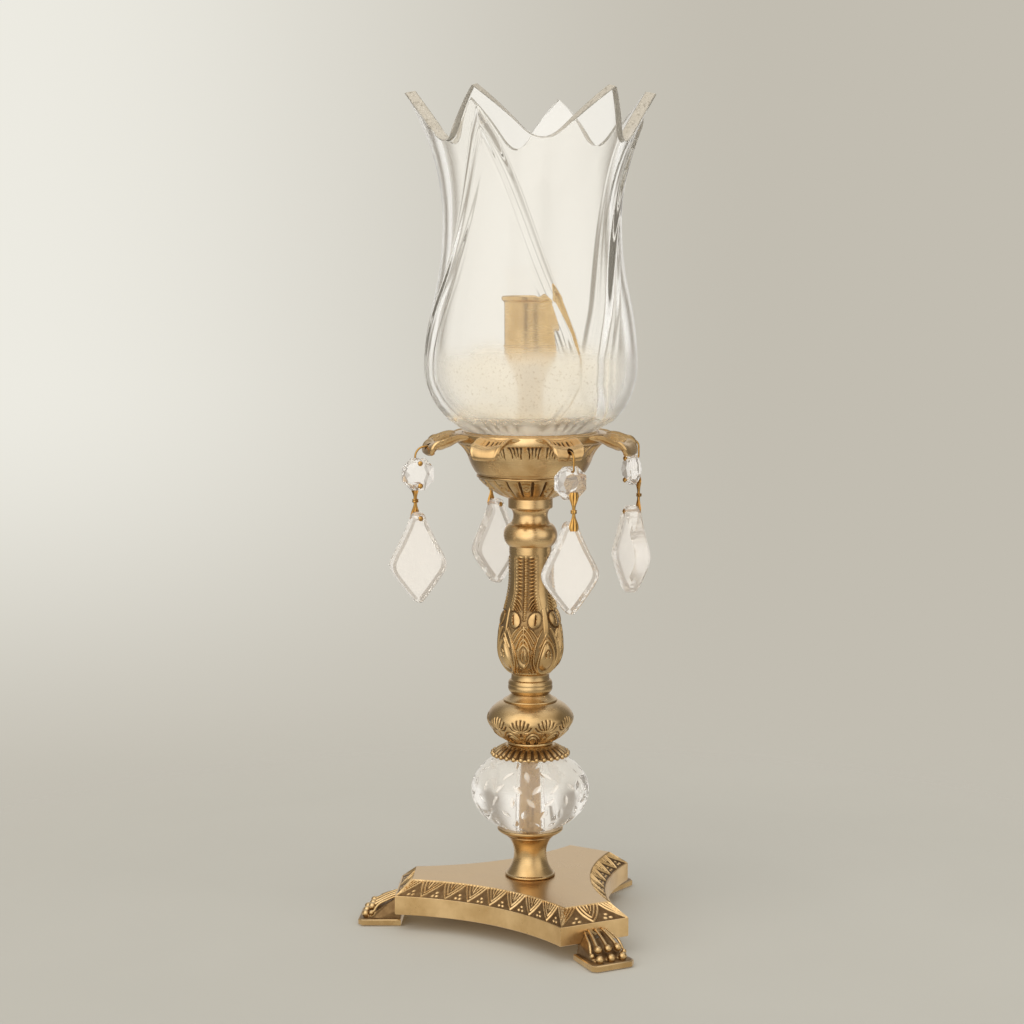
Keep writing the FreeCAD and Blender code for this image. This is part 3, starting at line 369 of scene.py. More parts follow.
glassLook = {
    "tint": (0.965, 0.96, 0.945, 1), "ior": 1.38, "swirl": 26, "wave": 0.12, "haze": 0.02, "frost": 0.26,
    "cover": 0.7, "milk": 0.04, "glow": 0.44, "side": (0.12, 0.32), "veil": colour(240, 232, 214),
    "speck": colour(214, 202, 178)}
clearGlass = glassFinish("clearGlass", glassLook)
rimGlass = glassFinish("rimGlass", dict(
    glassLook, haze=0.2, milk=0.1, cover=0.85, glow=0.14, side=(0.75, 1.0), veil=colour(186, 178, 163),
    speck=colour(140, 131, 115)))
stoneLook = dict(glassLook, swirl=60, wave=0.03, haze=0.03)
cutCrystal = glassFinish("cutCrystal", dict(
    stoneLook, tint=(0.93, 0.915, 0.89, 1), ior=1.34, haze=0.04, milk=0.26, glow=0.3,
    veil=colour(226, 218, 207), speck=colour(212, 203, 190)))
octagonCrystal = glassFinish("octagonCrystal", dict(
    stoneLook, tint=(0.94, 0.925, 0.90, 1), ior=1.42, milk=0.14, glow=0.3,
    veil=colour(228, 221, 212), speck=colour(214, 205, 194)))
ballCrystal = glassFinish("ballCrystal", dict(
    stoneLook, tint=(0.95, 0.935, 0.91, 1), ior=1.27, milk=0.1, veil=colour(220, 212, 201)))
print("finishes made")


# plinth: cut corners and hollow sides, a carved slope between two plain edges

plinth = {
    "outer": (61.5, 17.1, 9.9), "top": (53.8, 10.9, 8.7), "cavity": (44.0, 8.0, 8.0), "low": 7.7,
    "band": 16.2, "high": 22.7, "ceiling": 19.2, "bore": 3.2, "lineSteps": 80, "sideSteps": 260, "rows": 38,
    "ridge": 0.62, "lineLeaves": 2, "sideLeaves": 8}


def plinthLine(reach, half, hollow):  # points of the outline, corner lines and hollow sides in even steps
    out = []
    for corner in (0, 120, 240):
        ahead = bearingXY(corner)
        aside = bearingXY(corner + 90)
        p = ahead * reach - aside * half
        q = ahead * reach + aside * half
        n = plinth["lineSteps"]
        out += [p + (q - p) * i / n for i in range(n)]
        ahead = bearingXY(corner + 120)
        aside = bearingXY(corner + 210)
        r = ahead * reach - aside * half
        chord = np.hypot(*(r - q))
        steps = section([(*q, -2 * hollow / chord), (*r, 0)], chord * 1.02 / plinth["sideSteps"])
        t = np.linspace(0, 1, plinth["sideSteps"], endpoint=False)
        s = np.linspace(0, 1, len(steps))
        out += list(np.stack([np.interp(t, s, steps[:, 0]), np.interp(t, s, steps[:, 1])], -1))
    return np.array(out)


def plinthMotif(a, t, end):
    # a across one leaf from -0.5 to 0.5, t up the slope, end where a half leaf rises from a corner
    x = np.abs(a) * 10.0
    y = t * 9.6
    whole = strokes(
        x, y,
        (1, 0.42, 10, [(0.0, 1.1), (1.7, 3.5), (3.3, 6.2), (4.8, 9.4)]),
        (0.9, 0.36, 10, [(0.0, 3.1), (1.3, 5.2), (2.4, 7.4), (3.3, 9.3)]),
        (0.85, (0.2, 0.42), 0, [(0.0, 5.4), (0.0, 9.2)]),
        (0.75, (0.15, 0.38), 0, [(0.7, 6.4), (1.7, 9.2)]))
    fan = strokes(
        x, y,
        (0.9, (0.4, 0.6), 10, [(0.0, 0.6), (1.6, 3.6), (3.2, 6.2), (4.7, 9.4)]),
        (0.9, (0.35, 0.6), 10, [(0.0, 0.6), (1.0, 4.2), (2.0, 6.8), (3.2, 9.4)]),
        (0.9, (0.35, 0.6), 10, [(0.0, 0.6), (0.5, 4.6), (1.0, 7.2), (1.7, 9.4)]),
        (1, (0.4, 0.7), 0, [(0.0, 0.6), (0.0, 9.4)]))
    lines = np.where(end, fan, whole)
    for cx, cy in ((5.0, 3.7), (4.15, 2.0)):
        lines = np.maximum(lines, 0.95 * bump(np.hypot(x - cx, y - cy), 0.78))
    return lines


def plinthPiece():
    s = plinth
    outer = plinthLine(*s["outer"])
    top = plinthLine(*s["top"])
    cavity = plinthLine(*s["cavity"])
    columns = len(outer)
    part = s["lineSteps"] + s["sideSteps"]
    j = np.arange(columns) % part
    onLine = j < s["lineSteps"]
    along = np.where(onLine, j / s["lineSteps"], (j - s["lineSteps"]) / s["sideSteps"])
    last = np.where(onLine, s["lineLeaves"], s["sideLeaves"])
    place = along * last
    a = (place + 0.5) % 1 - 0.5
    end = (place < 0.5) | (place > last - 0.5)
    rows = [np.column_stack([cavity, np.full(columns, s["low"])])]

    def level(line, z):
        rows.append(np.column_stack([line, np.full(columns, z)]))

    inward = outer * (1 - 0.5 / np.hypot(outer[:, 0], outer[:, 1]))[:, None]
    level(inward, s["low"])
    for z in (s["low"] + 0.4, s["low"] + 3, s["low"] + 6, s["band"] - 0.4):
        level(outer, z)
    clean = [np.ones(columns) for _ in rows]
    # the slope, with its relief along the slope's own normal
    edge = np.roll(outer, -1, 0) - np.roll(outer, 1, 0)
    rise = np.column_stack([top - outer, np.full(columns, s["high"] - s["band"])])
    normal = np.cross(np.column_stack([edge, np.zeros(columns)]), rise)
    normal /= np.linalg.norm(normal, axis=1)[:, None]
    for i in range(s["rows"] + 1):
        t = i / s["rows"]
        line = outer + (top - outer) * t
        inside = float(smooth(np.array(t), 0.03, 0.07) * (1 - smooth(np.array(t), 0.93, 0.97)))
        raised = plinthMotif(a, np.full(columns, t), end)
        height = inside * (raised - 0.8) * s["ridge"]
        point = np.column_stack([line, np.full(columns, s["band"] + (s["high"] - s["band"]) * t)])
        rows.append(point + normal * height[:, None])
        clean.append(1 - inside * (1 - np.clip(raised * 1.5, 0, 1)) * 0.9)
    for share in (0.985, 0.8, 0.55, 0.3):
        level(top * share, s["high"])
    outward = top / np.hypot(top[:, 0], top[:, 1])[:, None]
    level(outward * 9, s["high"])
    level(outward * s["bore"], s["high"])
    level(outward * s["bore"], s["ceiling"])
    level(cavity, s["ceiling"])
    clean += [np.ones(columns) for _ in range(len(rows) - len(clean))]
    shape = (np.vstack(rows), gridFaces(len(rows), columns, wrapRows=True), np.concatenate(clean))
    addPiece("plinthBody", shape, "stand", brushedBrass, ("base_plate",), 30)


plinthPiece()
print("plinth made")


# paw feet: toes from the corner face down to two rows of beads on a flat slab

paw = {
    "inner": 59.5, "reach": 79.4, "half": 10.6, "heel": 1.0, "cut": 2.0, "slab": 3.1, "corner": 61.5,
    "under": 7.7, "voxel": 0.25, "rounds": 2,
    "instep": ((59.8, 0.6, 8.4), (75.4, 0.6, 8.4), (75.0, 3.6, 8.2), (72.6, 5.4, 7.6), (69.6, 7.2, 7.2),
               (66.6, 9.2, 6.6), (63.8, 11.0, 5.8), (61.6, 12.2, 5.2), (61.6, 7.6, 7.6), (59.8, 7.6, 7.8)),
    "toe": ((61.9, 3.3, 13.4), (64.2, 3.6, 12.6), (67.4, 4.1, 11.2), (70.6, 4.6, 9.5), (72.8, 4.9, 8.3)),
    "toeRadius": ((0, 0.3, 0.8, 1), (0.6, 0.65, 0.8, 0.9)),
    "toeBeads": ((73.2, 4.9, 8.0, 1.8), (76.2, 5.7, 4.6, 1.9)),
    "flank": ((62.2, 5.5, 13.0), (66.0, 6.5, 11.5), (69.4, 7.2, 10.0), (71.2, 7.7, 8.2), (72.0, 8.0, 6.8),
              (73.2, 8.1, 5.9)),
    "flankRadius": ((0, 0.5, 1), (0.4, 0.65, 0.55)),
    "flankBeads": ((73.4, 8.0, 5.7, 1.15),)}


def ballShape(mesh, centre, radius):
    for v in bmesh.ops.create_icosphere(mesh, subdivisions=3, radius=radius)["verts"]:
        v.co += Vector(centre)


def tubeShape(mesh, path, radii, sides):  # closed tube along a path, with its own radius at each point
    path = [Vector(p) for p in path]
    rings = []
    for i, p in enumerate(path):
        ahead = (path[min(i + 1, len(path) - 1)] - path[max(i - 1, 0)]).normalized()
        up = Vector((0, 1, 0)).cross(ahead).normalized()
        side = ahead.cross(up).normalized()
        ring = []
        for k in range(sides):
            b = 2 * math.pi * k / sides
            ring.append(mesh.verts.new(p + (side * math.cos(b) + up * math.sin(b)) * radii[i]))
        rings.append(ring)
    for low, high in zip(rings, rings[1:]):
        for k in range(sides):
            mesh.faces.new((low[k], low[(k + 1) % sides], high[(k + 1) % sides], high[k]))
    mesh.faces.new(list(reversed(rings[0])))
    mesh.faces.new(rings[-1])


def wedgeShape(mesh, side):  # points of (x, z, half width) joined across
    low = [mesh.verts.new((x, -w, z)) for x, z, w in side]
    high = [mesh.verts.new((x, w, z)) for x, z, w in side]
    n = len(side)
    mesh.faces.new(list(reversed(low)))
    mesh.faces.new(high)
    for k in range(n):
        mesh.faces.new((low[k], low[(k + 1) % n], high[(k + 1) % n], high[k]))


def settled(mesh, name):  # object made from a bmesh, which is freed
    bmesh.ops.recalc_face_normals(mesh, faces=mesh.faces)
    shell = bpy.data.meshes.new(name)
    mesh.to_mesh(shell)
    mesh.free()
    return linked(name, shell)


def evaluated(holder):  # its mesh with all modifiers applied
    graph = bpy.context.evaluated_depsgraph_get()
    return bpy.data.meshes.new_from_object(holder.evaluated_get(graph))


def cleared(skin, *holders):
    for holder in holders:
        shell = holder.data
        bpy.data.objects.remove(holder)
        bpy.data.meshes.remove(shell)
    bpy.data.meshes.remove(skin)


def meltShape(mesh, voxel, rounds):  # joins overlapping shapes into one skin
    holder = settled(mesh, "mould")
    melt = holder.modifiers.new("melt", "REMESH")
    melt.mode = "VOXEL"
    melt.voxel_size = voxel
    ease = holder.modifiers.new("ease", "SMOOTH")
    ease.iterations = rounds
    ease.factor = 0.5
    skin = evaluated(holder)
    points = readField(skin.vertices, "co", 3)
    normal = readField(skin.vertices, "normal", 3)
    edges = readField(skin.edges, "vertices", 2, np.int32)
    faces = [tuple(p.vertices) for p in skin.polygons]
    cleared(skin, holder)
    # hollows are where the neighbours stand higher along the normal
    count = np.bincount(edges.ravel(), minlength=len(points)).astype(float)

    def around(field):
        total = np.zeros_like(field)
        np.add.at(total, edges[:, 0], field[edges[:, 1]])
        np.add.at(total, edges[:, 1], field[edges[:, 0]])
        return total / np.maximum(count, 1).reshape(-1, *([1] * (field.ndim - 1)))

    blur = points.copy()
    for _ in range(6):
        blur = around(blur)
    hollow = ((blur - points) * normal).sum(1) / voxel
    for _ in range(2):
        hollow = around(hollow)
    return points, faces, np.clip(0.78 - hollow * 1.6, 0, 1)


def pawShape():
    # instep behind three fanning toes with two beads each, and an outer toe bent down each flank
    s = paw
    mesh = bmesh.new()
    wedgeShape(mesh, s["instep"])
    marks = []
    for kind, sides, columns in (("toe", (-1, 0, 1), 16), ("flank", (-1, 1), 12)):
        for side in sides:
            path = curve([(x, side * y, z) for x, y, z in s[kind]], 6)
            radii = np.interp(np.linspace(0, 1, len(path)), *s[kind + "Radius"])
            tubeShape(mesh, path, radii, columns)
            marks += [(*p, r) for p, r in zip(path, radii)]
            for x, y, z, r in s[kind + "Beads"]:
                ballShape(mesh, (x, side * y, z), r)
                marks.append((x, side * y, z, r))
    points, faces, clean = meltShape(mesh, s["voxel"], s["rounds"])
    # painted shade: what lies between the toes is darkened, as shade falls there
    marks = np.array(marks)
    apart = np.linalg.norm(points[:, None, :] - marks[None, :, :3], axis=2)
    gap = np.min(apart - marks[None, :, 3], axis=1)
    clean = np.minimum(clean, 1 - 0.85 * smooth(gap, 0.15, 0.9))
    # nothing behind the plinth's corner face
    above = points[:, 2] > s["under"] - 0.05
    points[:, 0] = np.where(above, np.maximum(points[:, 0], s["corner"] + 0.02), points[:, 0])
    points[:, 2] = np.maximum(points[:, 2], 0.4)
    # flat slab with eased edges
    tail, side, cut = s["inner"], s["half"], s["cut"]
    plan = np.array([(tail, -side + s["heel"]), (s["reach"] - cut, -side), (s["reach"], -side + cut),
                     (s["reach"], side - cut), (s["reach"] - cut, side), (tail, side - s["heel"])])
    middle = np.array([(tail + s["reach"]) / 2, 0.0])
    rows = []
    for shrink, z in ((0.45, 0.0), (0.0, 0.45), (0.0, s["slab"] - 0.5), (0.5, s["slab"])):
        outline = middle + (plan - middle) * (1 - shrink / 10)
        rows.append(np.column_stack([outline, np.full(len(plan), z)]))
    dull = np.concatenate([np.ones(3 * len(plan)), np.full(len(plan), 0.2)])
    slab = (np.vstack(rows), cappedGrid(len(rows), len(plan)), dull)
    return joined((points, faces, clean), slab)


pawMould = pawShape()
for label, angle in (("front", 0), ("right", 120), ("left", 240)):
    addPiece("pawFoot." + label, placed(pawMould, angle), "stand", antiqueBrass,
             ("paw_foot_" + label,), 40)
print("feet made")


# stem, each piece on the one below

bore = 3.2
stem = {
    "spool": 22.7, "dish": 42.1, "ball": 45.7, "collar": 80.5, "knopRing": 84.9, "knop": 86.7,
    "ring": 105.1, "baluster": 117.8, "neck": 177.0, "cup": 198.7, "bowl": 209.7, "plate": 227.1,
    "shade": 229.4, "candle": 258.4}


def bored(top, inside=bore):  # closes a turned section through its bore
    return [(inside, top), (inside, 0.0)]


turnedPiece("spoolTurning", "spool", section([
    (11.0, 0.0, 0.25), (11.6, 0.5, 0.25), (11.4, 1.15), (10.8, 1.4, -upright(3.3, 9.6)),
    (7.5, 11.0, -upright(3.0, 7.6)), (10.5, 18.6, 0.2), (11.0, 19.0, 0.3), (10.8, 19.4)], 0.3),
    bored(19.4), stem["spool"], antiqueBrass)
turnedPiece("ballDish", "ball_dish", section([
    (10.9, 0.0, 0.1), (14.8, 2.1, 0.3), (15.2, 2.8, 0.3), (14.9, 3.6)], 0.2),
    bored(3.6), stem["dish"], antiqueBrass)

ball = {
    "radius": 27.3, "flat": 12.0, "lip": 11.5, "height": 34.8, "tall": 19.37, "bore": 5.2, "cut": 0.5,
    "long": 3.3, "wide": 1.35, "rows": 110, "columns": 400,
    "flecks": ((0.0, 20), (0.3, 19), (-0.3, 19), (0.6, 16), (-0.6, 16), (0.88, 12), (-0.88, 12))}


def ballRelief(theta, r, z):
    # small leaf-shaped flecks ground into the skin, their lean changing from one to the next
    s = ball
    tilt = np.arcsin(np.clip((z - s["height"] / 2) / s["tall"], -1, 1))
    depth = np.zeros(np.broadcast(theta, z).shape)
    for row, (at, count) in enumerate(s["flecks"]):
        pitch = 2 * math.pi / count
        place = theta / pitch + 0.5 * (row % 2) + 0.13 * row
        cell = np.floor(place) % count
        side = (place % 1 - 0.5) * pitch * np.cos(tilt) * s["radius"]
        up = (tilt - at) * s["radius"] * 0.8
        lean = 0.9 * np.sin(cell * 2.4 + row * 1.7)
        along = up * np.cos(lean) + side * np.sin(lean)
        across = side * np.cos(lean) - up * np.sin(lean)
        half = s["wide"] * np.clip(1 - (along / s["long"]) ** 2, 0, 1)
        share = np.clip(1 - np.abs(across) / np.maximum(half, 1e-4), 0, 1) * (np.abs(along) < s["long"])
        depth = np.maximum(depth, share * np.minimum(half / s["wide"], 1))
    return -s["cut"] * depth, 1 - 0.5 * smooth(depth, 0.0, 0.3)


edge = math.acos(ball["flat"] / ball["radius"])
swing = np.linspace(-edge, edge, ball["rows"])
ballLine = np.column_stack([
    ball["radius"] * np.cos(swing), ball["height"] / 2 + ball["tall"] * np.sin(swing)])
ballLine = np.vstack([[(ball["lip"], 0.0)], ballLine, [(ball["lip"], ball["height"])]])
turnedPiece("crystalBall", "crystal_ball", ballLine, bored(ball["height"], ball["bore"]), stem["ball"],
            ballCrystal, ball["columns"], ballRelief)

collar = {"ribs": 30, "bead": 1.15, "beadReach": 17.3, "beadRows": 9, "beadColumns": 14, "columns": 360}


def collarRelief(theta, r, z):
    wave = np.abs(np.sin(theta * collar["ribs"] / 2)) ** 1.5
    fade = smooth(r, 10.8, 12.5) * (z > -0.5)
    return (wave - 1) * 0.8 * fade, 1 - np.clip((1 - wave) * 1.5, 0, 1) * fade


def beadRing():  # the row of small balls, one shape each
    s = collar
    rows, columns = s["beadRows"], s["beadColumns"]
    up = np.linspace(-math.pi / 2, math.pi / 2, rows)[1:-1, None]
    turn = np.arange(columns)[None, :] * 2 * math.pi / columns
    grid = np.stack([np.cos(up) * np.cos(turn), np.cos(up) * np.sin(turn), np.sin(up) + 0 * turn], -1)
    grid = np.vstack([grid.reshape(-1, 3), [(0, 0, -1), (0, 0, 1)]]) * s["bead"]
    low, high = len(grid) - 2, len(grid) - 1
    last = (rows - 3) * columns
    faces = gridFaces(rows - 2, columns)
    faces += [(low, (k + 1) % columns, k) for k in range(columns)]
    faces += [(high, last + k, last + (k + 1) % columns) for k in range(columns)]
    ring = []
    for k in range(s["ribs"]):
        at = bearingXY((k + 0.5) * 360 / s["ribs"]) * s["beadReach"]
        ring.append((grid + [at[0], at[1], 0.0], faces, np.ones(len(grid))))
    return ring


collarShape = turnedGrid(section([
    (12.0, 0.02), (16.7, -0.7, 0.3), (17.4, 0.4, 0.2), (16.9, 1.0, 0.12), (11.2, 4.0, 0.1), (10.6, 4.4)],
    0.25), bored(4.4), collar["columns"], collarRelief)
addPiece("flutedCollar", lifted(joined(collarShape, *beadRing()), stem["collar"]), "stand",
         antiqueBrass, ("fluted_collar",))

turnedPiece("knopRing", "knop_ring", section([(9.97, 0.0, 0.7), (9.97, 1.8)], 0.2), bored(1.8),
            stem["knopRing"], antiqueBrass)

knop = {"count": 10, "turn": -23.3, "columns": 480}


def knopRelief(theta, r, z):
    # double-lined scallops round the foot, a fan of tapered strokes over each gap between them
    s = knop
    pitch = 2 * math.pi / s["count"]
    turn = (theta - math.radians(s["turn"])) / pitch
    y = z + 0 * theta
    x = np.abs((turn + 0.5) % 1 - 0.5) * pitch * np.maximum(r, 13)
    ring = np.hypot(x / 3.5, (y - 0.4) / 5.6)
    arch = np.maximum(bump(ring - 0.93, 0.12), 0.85 * bump(ring - 0.62, 0.11))
    pit = (ring < 0.93) * (1 - arch) * smooth(ring, 0.2, 0.5)
    rim = bump(ring - 1.07, 0.1) * (y > 0.8)
    x = np.abs(turn % 1 - 0.5) * pitch * 19.2
    cut = strokes(
        x, y,
        (1, (0.2, 0.7), 6, ((0.0, 7.6), (0.0, 12.6))),
        (1, (0.2, 0.72), 6, ((0.7, 7.7), (1.5, 9.6), (1.9, 12.2))),
        (1, (0.2, 0.8), 6, ((1.3, 7.4), (2.9, 8.6), (3.7, 11.0))),
        (1, (0.2, 0.8), 6, ((1.4, 6.8), (3.6, 7.2), (5.0, 9.0))),
        (1, (0.5, 0.2), 6, ((0.5, 4.2), (0.2, 6.2))))
    height = 0.25 * arch - 0.5 * pit - 0.3 * rim - 0.5 * cut
    return height, 1 - np.clip(cut * 1.1 + pit * 0.8 + rim * 0.8 + 0.5 * bump(y - 0.2, 0.8), 0, 1)


turnedPiece("knopTurning", "knop", section([
    (10.4, 0.0, 0.2), (19.4, 8.2, 0.28), (19.4, 12.6, 0.2), (12.3, 18.4)], 0.24),
    bored(18.4), stem["knop"], antiqueBrass, knop["columns"], knopRelief)
turnedPiece("stemRing", "stem_ring", section([
    (12.3, 0.0, 0.2), (12.5, 0.5, 0.3), (12.0, 0.9, -0.12), (8.5, 3.7, -0.1), (9.2, 3.95, 0.3),
    (10.1, 7.5, 0.3), (9.4, 9.9, -0.3), (8.9, 10.5, -0.1), (8.8, 12.7)], 0.25),
    bored(12.7), stem["ring"], antiqueBrass)


# baluster: four carved panels round the swelling

baluster = {"turn": -40.2, "depth": 1.1475, "pitch": 1.6, "columns": 560}


def almond(x, y, tall, wide):  # 0 at the centre, 1 on the edge of a pointed oval
    return np.hypot(x / wide, y / tall) + 0.35 * np.abs(y / tall) ** 3 * np.abs(x / wide)


def balusterRelief(theta, r, z):
    s = baluster
    quarter = math.pi / 2
    turn = ((theta - math.radians(s["turn"])) / quarter + 0.5) % 1 - 0.5
    x = np.abs(turn) * quarter * r
    y = z + 0 * theta
    far = quarter / 2 * r - x  # from the line between two panels
    # bead column, and slanted ribs that feather out at their foot
    head = 1 - smooth(y, 54.2, 55.9)
    tall = smooth(y, 29.4, 31.0) * head
    beads = bump(np.hypot(x * 0.9, ((y / s["pitch"]) % 1 - 0.5) * s["pitch"] * 1.1), 1.3)
    up = [1.1 * np.maximum(beads, 0.5 * bump(x, 1.25)) * smooth(y, 25.6, 26.8) * head]
    spread = 1 - smooth(y, 30, 40)
    middle = 3.35 + spread * 0.9
    reach = 1.85 + spread
    lean = 0.25 + 1.15 * spread
    rib = 0.5 + 0.5 * np.cos(2 * math.pi * (y - lean * (x - middle)) / 1.62)
    up.append(rib ** 0.8 * bump(x - middle, reach + 0.25) ** 0.45 * tall)
    columns = tall * (1 - smooth(x, middle + reach, middle + reach + 1.0))
    # pair of lobes with a slit each, and the bud between them
    lobe = np.hypot((x - 5.0 - 0.1 * (y - 26)) / 3.1, (y - 26.4) / 3.5)
    slit = strokeHeight(x, y, [(5.2, 28.4), (5.0, 24.6)], (0.3, 0.5))
    up.append(np.clip(1.25 - lobe * lobe * 0.55, 0, 1.2) * (lobe < 1) * (1 - 0.9 * slit))
    up.append(0.9 * bump(np.hypot(x / 1.9, (y - 23.4) / 1.5), 1.0))
    # spine, nested lines that fall outward, sweeping leaf lines
    up.append(strokes(
        x, y,
        (1, (0.9, 0.5), 0, ((0, 23), (0, 16))),
        (0.95, (1.0, 0.85), 6, ((0.6, 22.6), (2.7, 20.2), (4.9, 16.2))),
        (0.95, (1.0, 0.85), 6, ((0.5, 20.2), (2.2, 17.8), (3.9, 13.6))),
        (0.95, (1.0, 0.85), 6, ((2.6, 23.0), (4.7, 20.9), (6.6, 17.8))),
        (0.95, (1.0, 0.85), 6, ((0.4, 17.8), (1.6, 16.0), (2.7, 12.8))),
        (1, (0.6, 0.95), 6, ((8.8, 22.4), (7.8, 20.6), (6.2, 16.8), (4.9, 11.0), (4.6, 6.0), (5.6, 1.8))),
        (0.95, (0.5, 0.75), 6, ((5.4, 15.6), (4.0, 11.0), (3.3, 6.4), (3.9, 1.8)))))
    # pointed oval under the spine
    inner = almond(x, y - 10.2, 5.7, 2.7)
    up.append(bump(inner - 0.95, 0.32))
    slit = strokeHeight(x, y, [(0, 13.4), (0, 7.6)], (0.3, 0.75))
    up.append(0.9 * np.clip(1 - (inner / 0.62) ** 2, 0, 1) ** 0.6 * (1 - 0.95 * slit))
    # egg on the line between two panels, smooth inside a double edge
    egg = np.hypot(far / (4.5 - 0.16 * (y - 8)), (y - 9.3) / 8.0)
    up.append(bump(egg - 1.0, 0.2))
    dent = strokeHeight(far, y, curve([(0.2, 13.0), (1.1, 11.4), (0.9, 9.6)], 5), (0.25, 0.5))
    up.append(1.05 * np.clip(1 - (egg / 0.86) ** 4, 0, 1) ** 0.7 * (1 - 0.7 * dent))
    up.append(0.7 * strokeHeight(far, y, curve([(0.0, 20.5), (1.3, 18.6), (4.2, 14.0)], 6), 0.5))
    # ticks at the foot
    tick = 0.5 + 0.5 * np.cos(2 * math.pi * (x + 0.8 * y) / 1.3)
    up.append(0.7 * tick * (y > 1.2) * (y < 4.0) * (x > 1.6) * (egg > 1.15))
    # ground of the panels, and a dark ring round each lobe
    up.append(0.24 - 0.1 * columns + 0.42 * columns * smooth(x, middle, middle + reach + 0.6))
    raised = np.clip(np.maximum.reduce([np.broadcast_to(u, y.shape) for u in up]), 0, 1.25)
    raised = np.where((lobe > 1) & (lobe < 1.2), np.minimum(raised, 0.12), raised)
    side = smooth(x, 8.2, 10.4)
    top = 31.8 - 9.4 * side
    lower = smooth(y, 0.8, 1.4) * (1 - smooth(y, top - 3.0 * side - 1.6, top + 0.6))
    zone = np.maximum(columns, lower)
    height = zone * (raised - 0.6) * s["depth"]
    return height, 1 - zone * (1 - np.clip((raised - 0.14) * 1.8, 0, 1)) * 0.88


turnedPiece("balusterCasting", "baluster", section([
    (8.8, 0.0, upright(6.1, 12.5)), (14.9, 12.5, upright(5.2, 34.5)), (12.3, 29.75, -upright(5.2, 34.5)),
    (9.7, 47.0), (9.7, 59.2)], 0.2),
    bored(59.2), stem["baluster"], antiqueBrass, baluster["columns"], balusterRelief)

turnedPiece("neckTurning", "neck", section([
    (10.0, 0.0, upright(2.3, 5.0)), (12.3, 5.0, upright(2.3, 5.0)), (10.0, 10.0, -0.3),
    (9.2, 10.3, -upright(1.3, 3.7)), (7.9, 14.0, -upright(1.3, 3.1)), (9.2, 17.1, 0.2), (9.9, 17.4, 0.3),
    (10.2, 18.0), (10.2, 21.7)], 0.25),
    bored(21.7), stem["neck"], litBrass)

gadroon = {"count": 24, "turn": -40.2, "columns": 480}


def gadroonRelief(theta, r, z):
    # fluted cup, every second flute with a rosette
    s = gadroon
    turn = (theta - math.radians(s["turn"])) * s["count"] / (2 * math.pi)
    x = (turn % 1 - 0.5) * 2
    fade = smooth(z, 0.6, 2.2) * (1 - smooth(z, 9.0, 9.8))
    groove = smooth(np.abs(x), 0.7, 0.96)
    rosette = (np.floor(turn) % 2 < 0.5) * 1.0
    y = (z - 6.4) / 2.2
    away = np.hypot(x * 1.1, y)
    mark = rosette * (bump(away - 0.62, 0.3) + bump(away, 0.34)) * (np.abs(y) < 1.3)
    panel = rosette * smooth(1.15 - np.hypot(x * 1.1, y * 0.8), 0.0, 0.2) * 0.5
    height = fade * (-0.9 * groove + 0.3 * np.sqrt(np.clip(1 - x * x, 0, 1)) - 0.3 * panel + 0.45 * mark)
    return height, 1 - fade * np.clip(groove * 0.9 + panel * 0.7 - mark, 0, 1)


turnedPiece("gadroonCup", "gadroon_cup", section([
    (10.2, 0.0, 0.1), (23.9, 9.7, 0.1), (24.4, 10.0, 0.3), (24.6, 10.5, 0.3), (24.4, 11.0)], 0.28),
    bored(11.0), stem["cup"], antiqueBrass, gadroon["columns"], gadroonRelief)
print("stem made")


# bowl and its eight leaf arms

bowl = {"leaves": 8, "turn": -7.2, "groups": 24, "groupTurn": -24.7, "columns": 480}
leaf = {
    "path": ((31.8, 17.7), (36.0, 17.7), (40.3, 16.3), (43.6, 15.2), (46.0, 15.0), (47.8, 13.8),
             (48.5, 12.0), (48.0, 10.7)),
    "at": (0, 1.2, 2.6, 4.6, 8, 12, 14.5, 16.5, 18),
    "half": (13.2, 10.4, 9.0, 8.1, 7.8, 7.7, 7.6, 7.4, 7.0, 5.4),
    "scoop": ((0, 0.12, 0.4, 0.6, 0.78, 0.9, 1), (0.0, 1.4, 3.6, 3.2, 1.6, 0.5, 0.0)),
    "rise": ((0, 0.55, 0.8, 0.95, 1), (1.0, 1.1, 1.7, 1.75, 1.2)),
    "blunt": ((0, 0.6, 0.85, 1), (5.0, 5.0, 2.6, 2.2)),
    "rows": 60, "columns": 34, "thick": 2.4, "hole": (40, 60, 14.2, 1.4)}


def bowlRelief(theta, r, z):
    # tapered strokes under the rim, in groups with a plain wedge between
    s = bowl
    pitch = 2 * math.pi / s["groups"]
    x = np.abs(((theta - math.radians(s["groupTurn"])) / pitch + 0.5) % 1 - 0.5) * pitch * 32
    y = z + 0 * theta
    cut = strokes(
        x, y,
        (1, (0.3, 0.75), 0, ((0.6, 9.6), (0.85, 14.4))),
        (1, (0.3, 0.75), 0, ((1.9, 9.0), (2.6, 14.4))))
    line = bump(y - 0.9, 0.45)
    # painted shadow: besides the strokes and the foot line, the band just under the rim is darkened
    dark = cut * 1.3 + 0.5 * line + 0.4 * smooth(y, 12.5, 14.5)
    return -0.55 * cut - 0.2 * line, 1 - np.clip(dark, 0, 1)


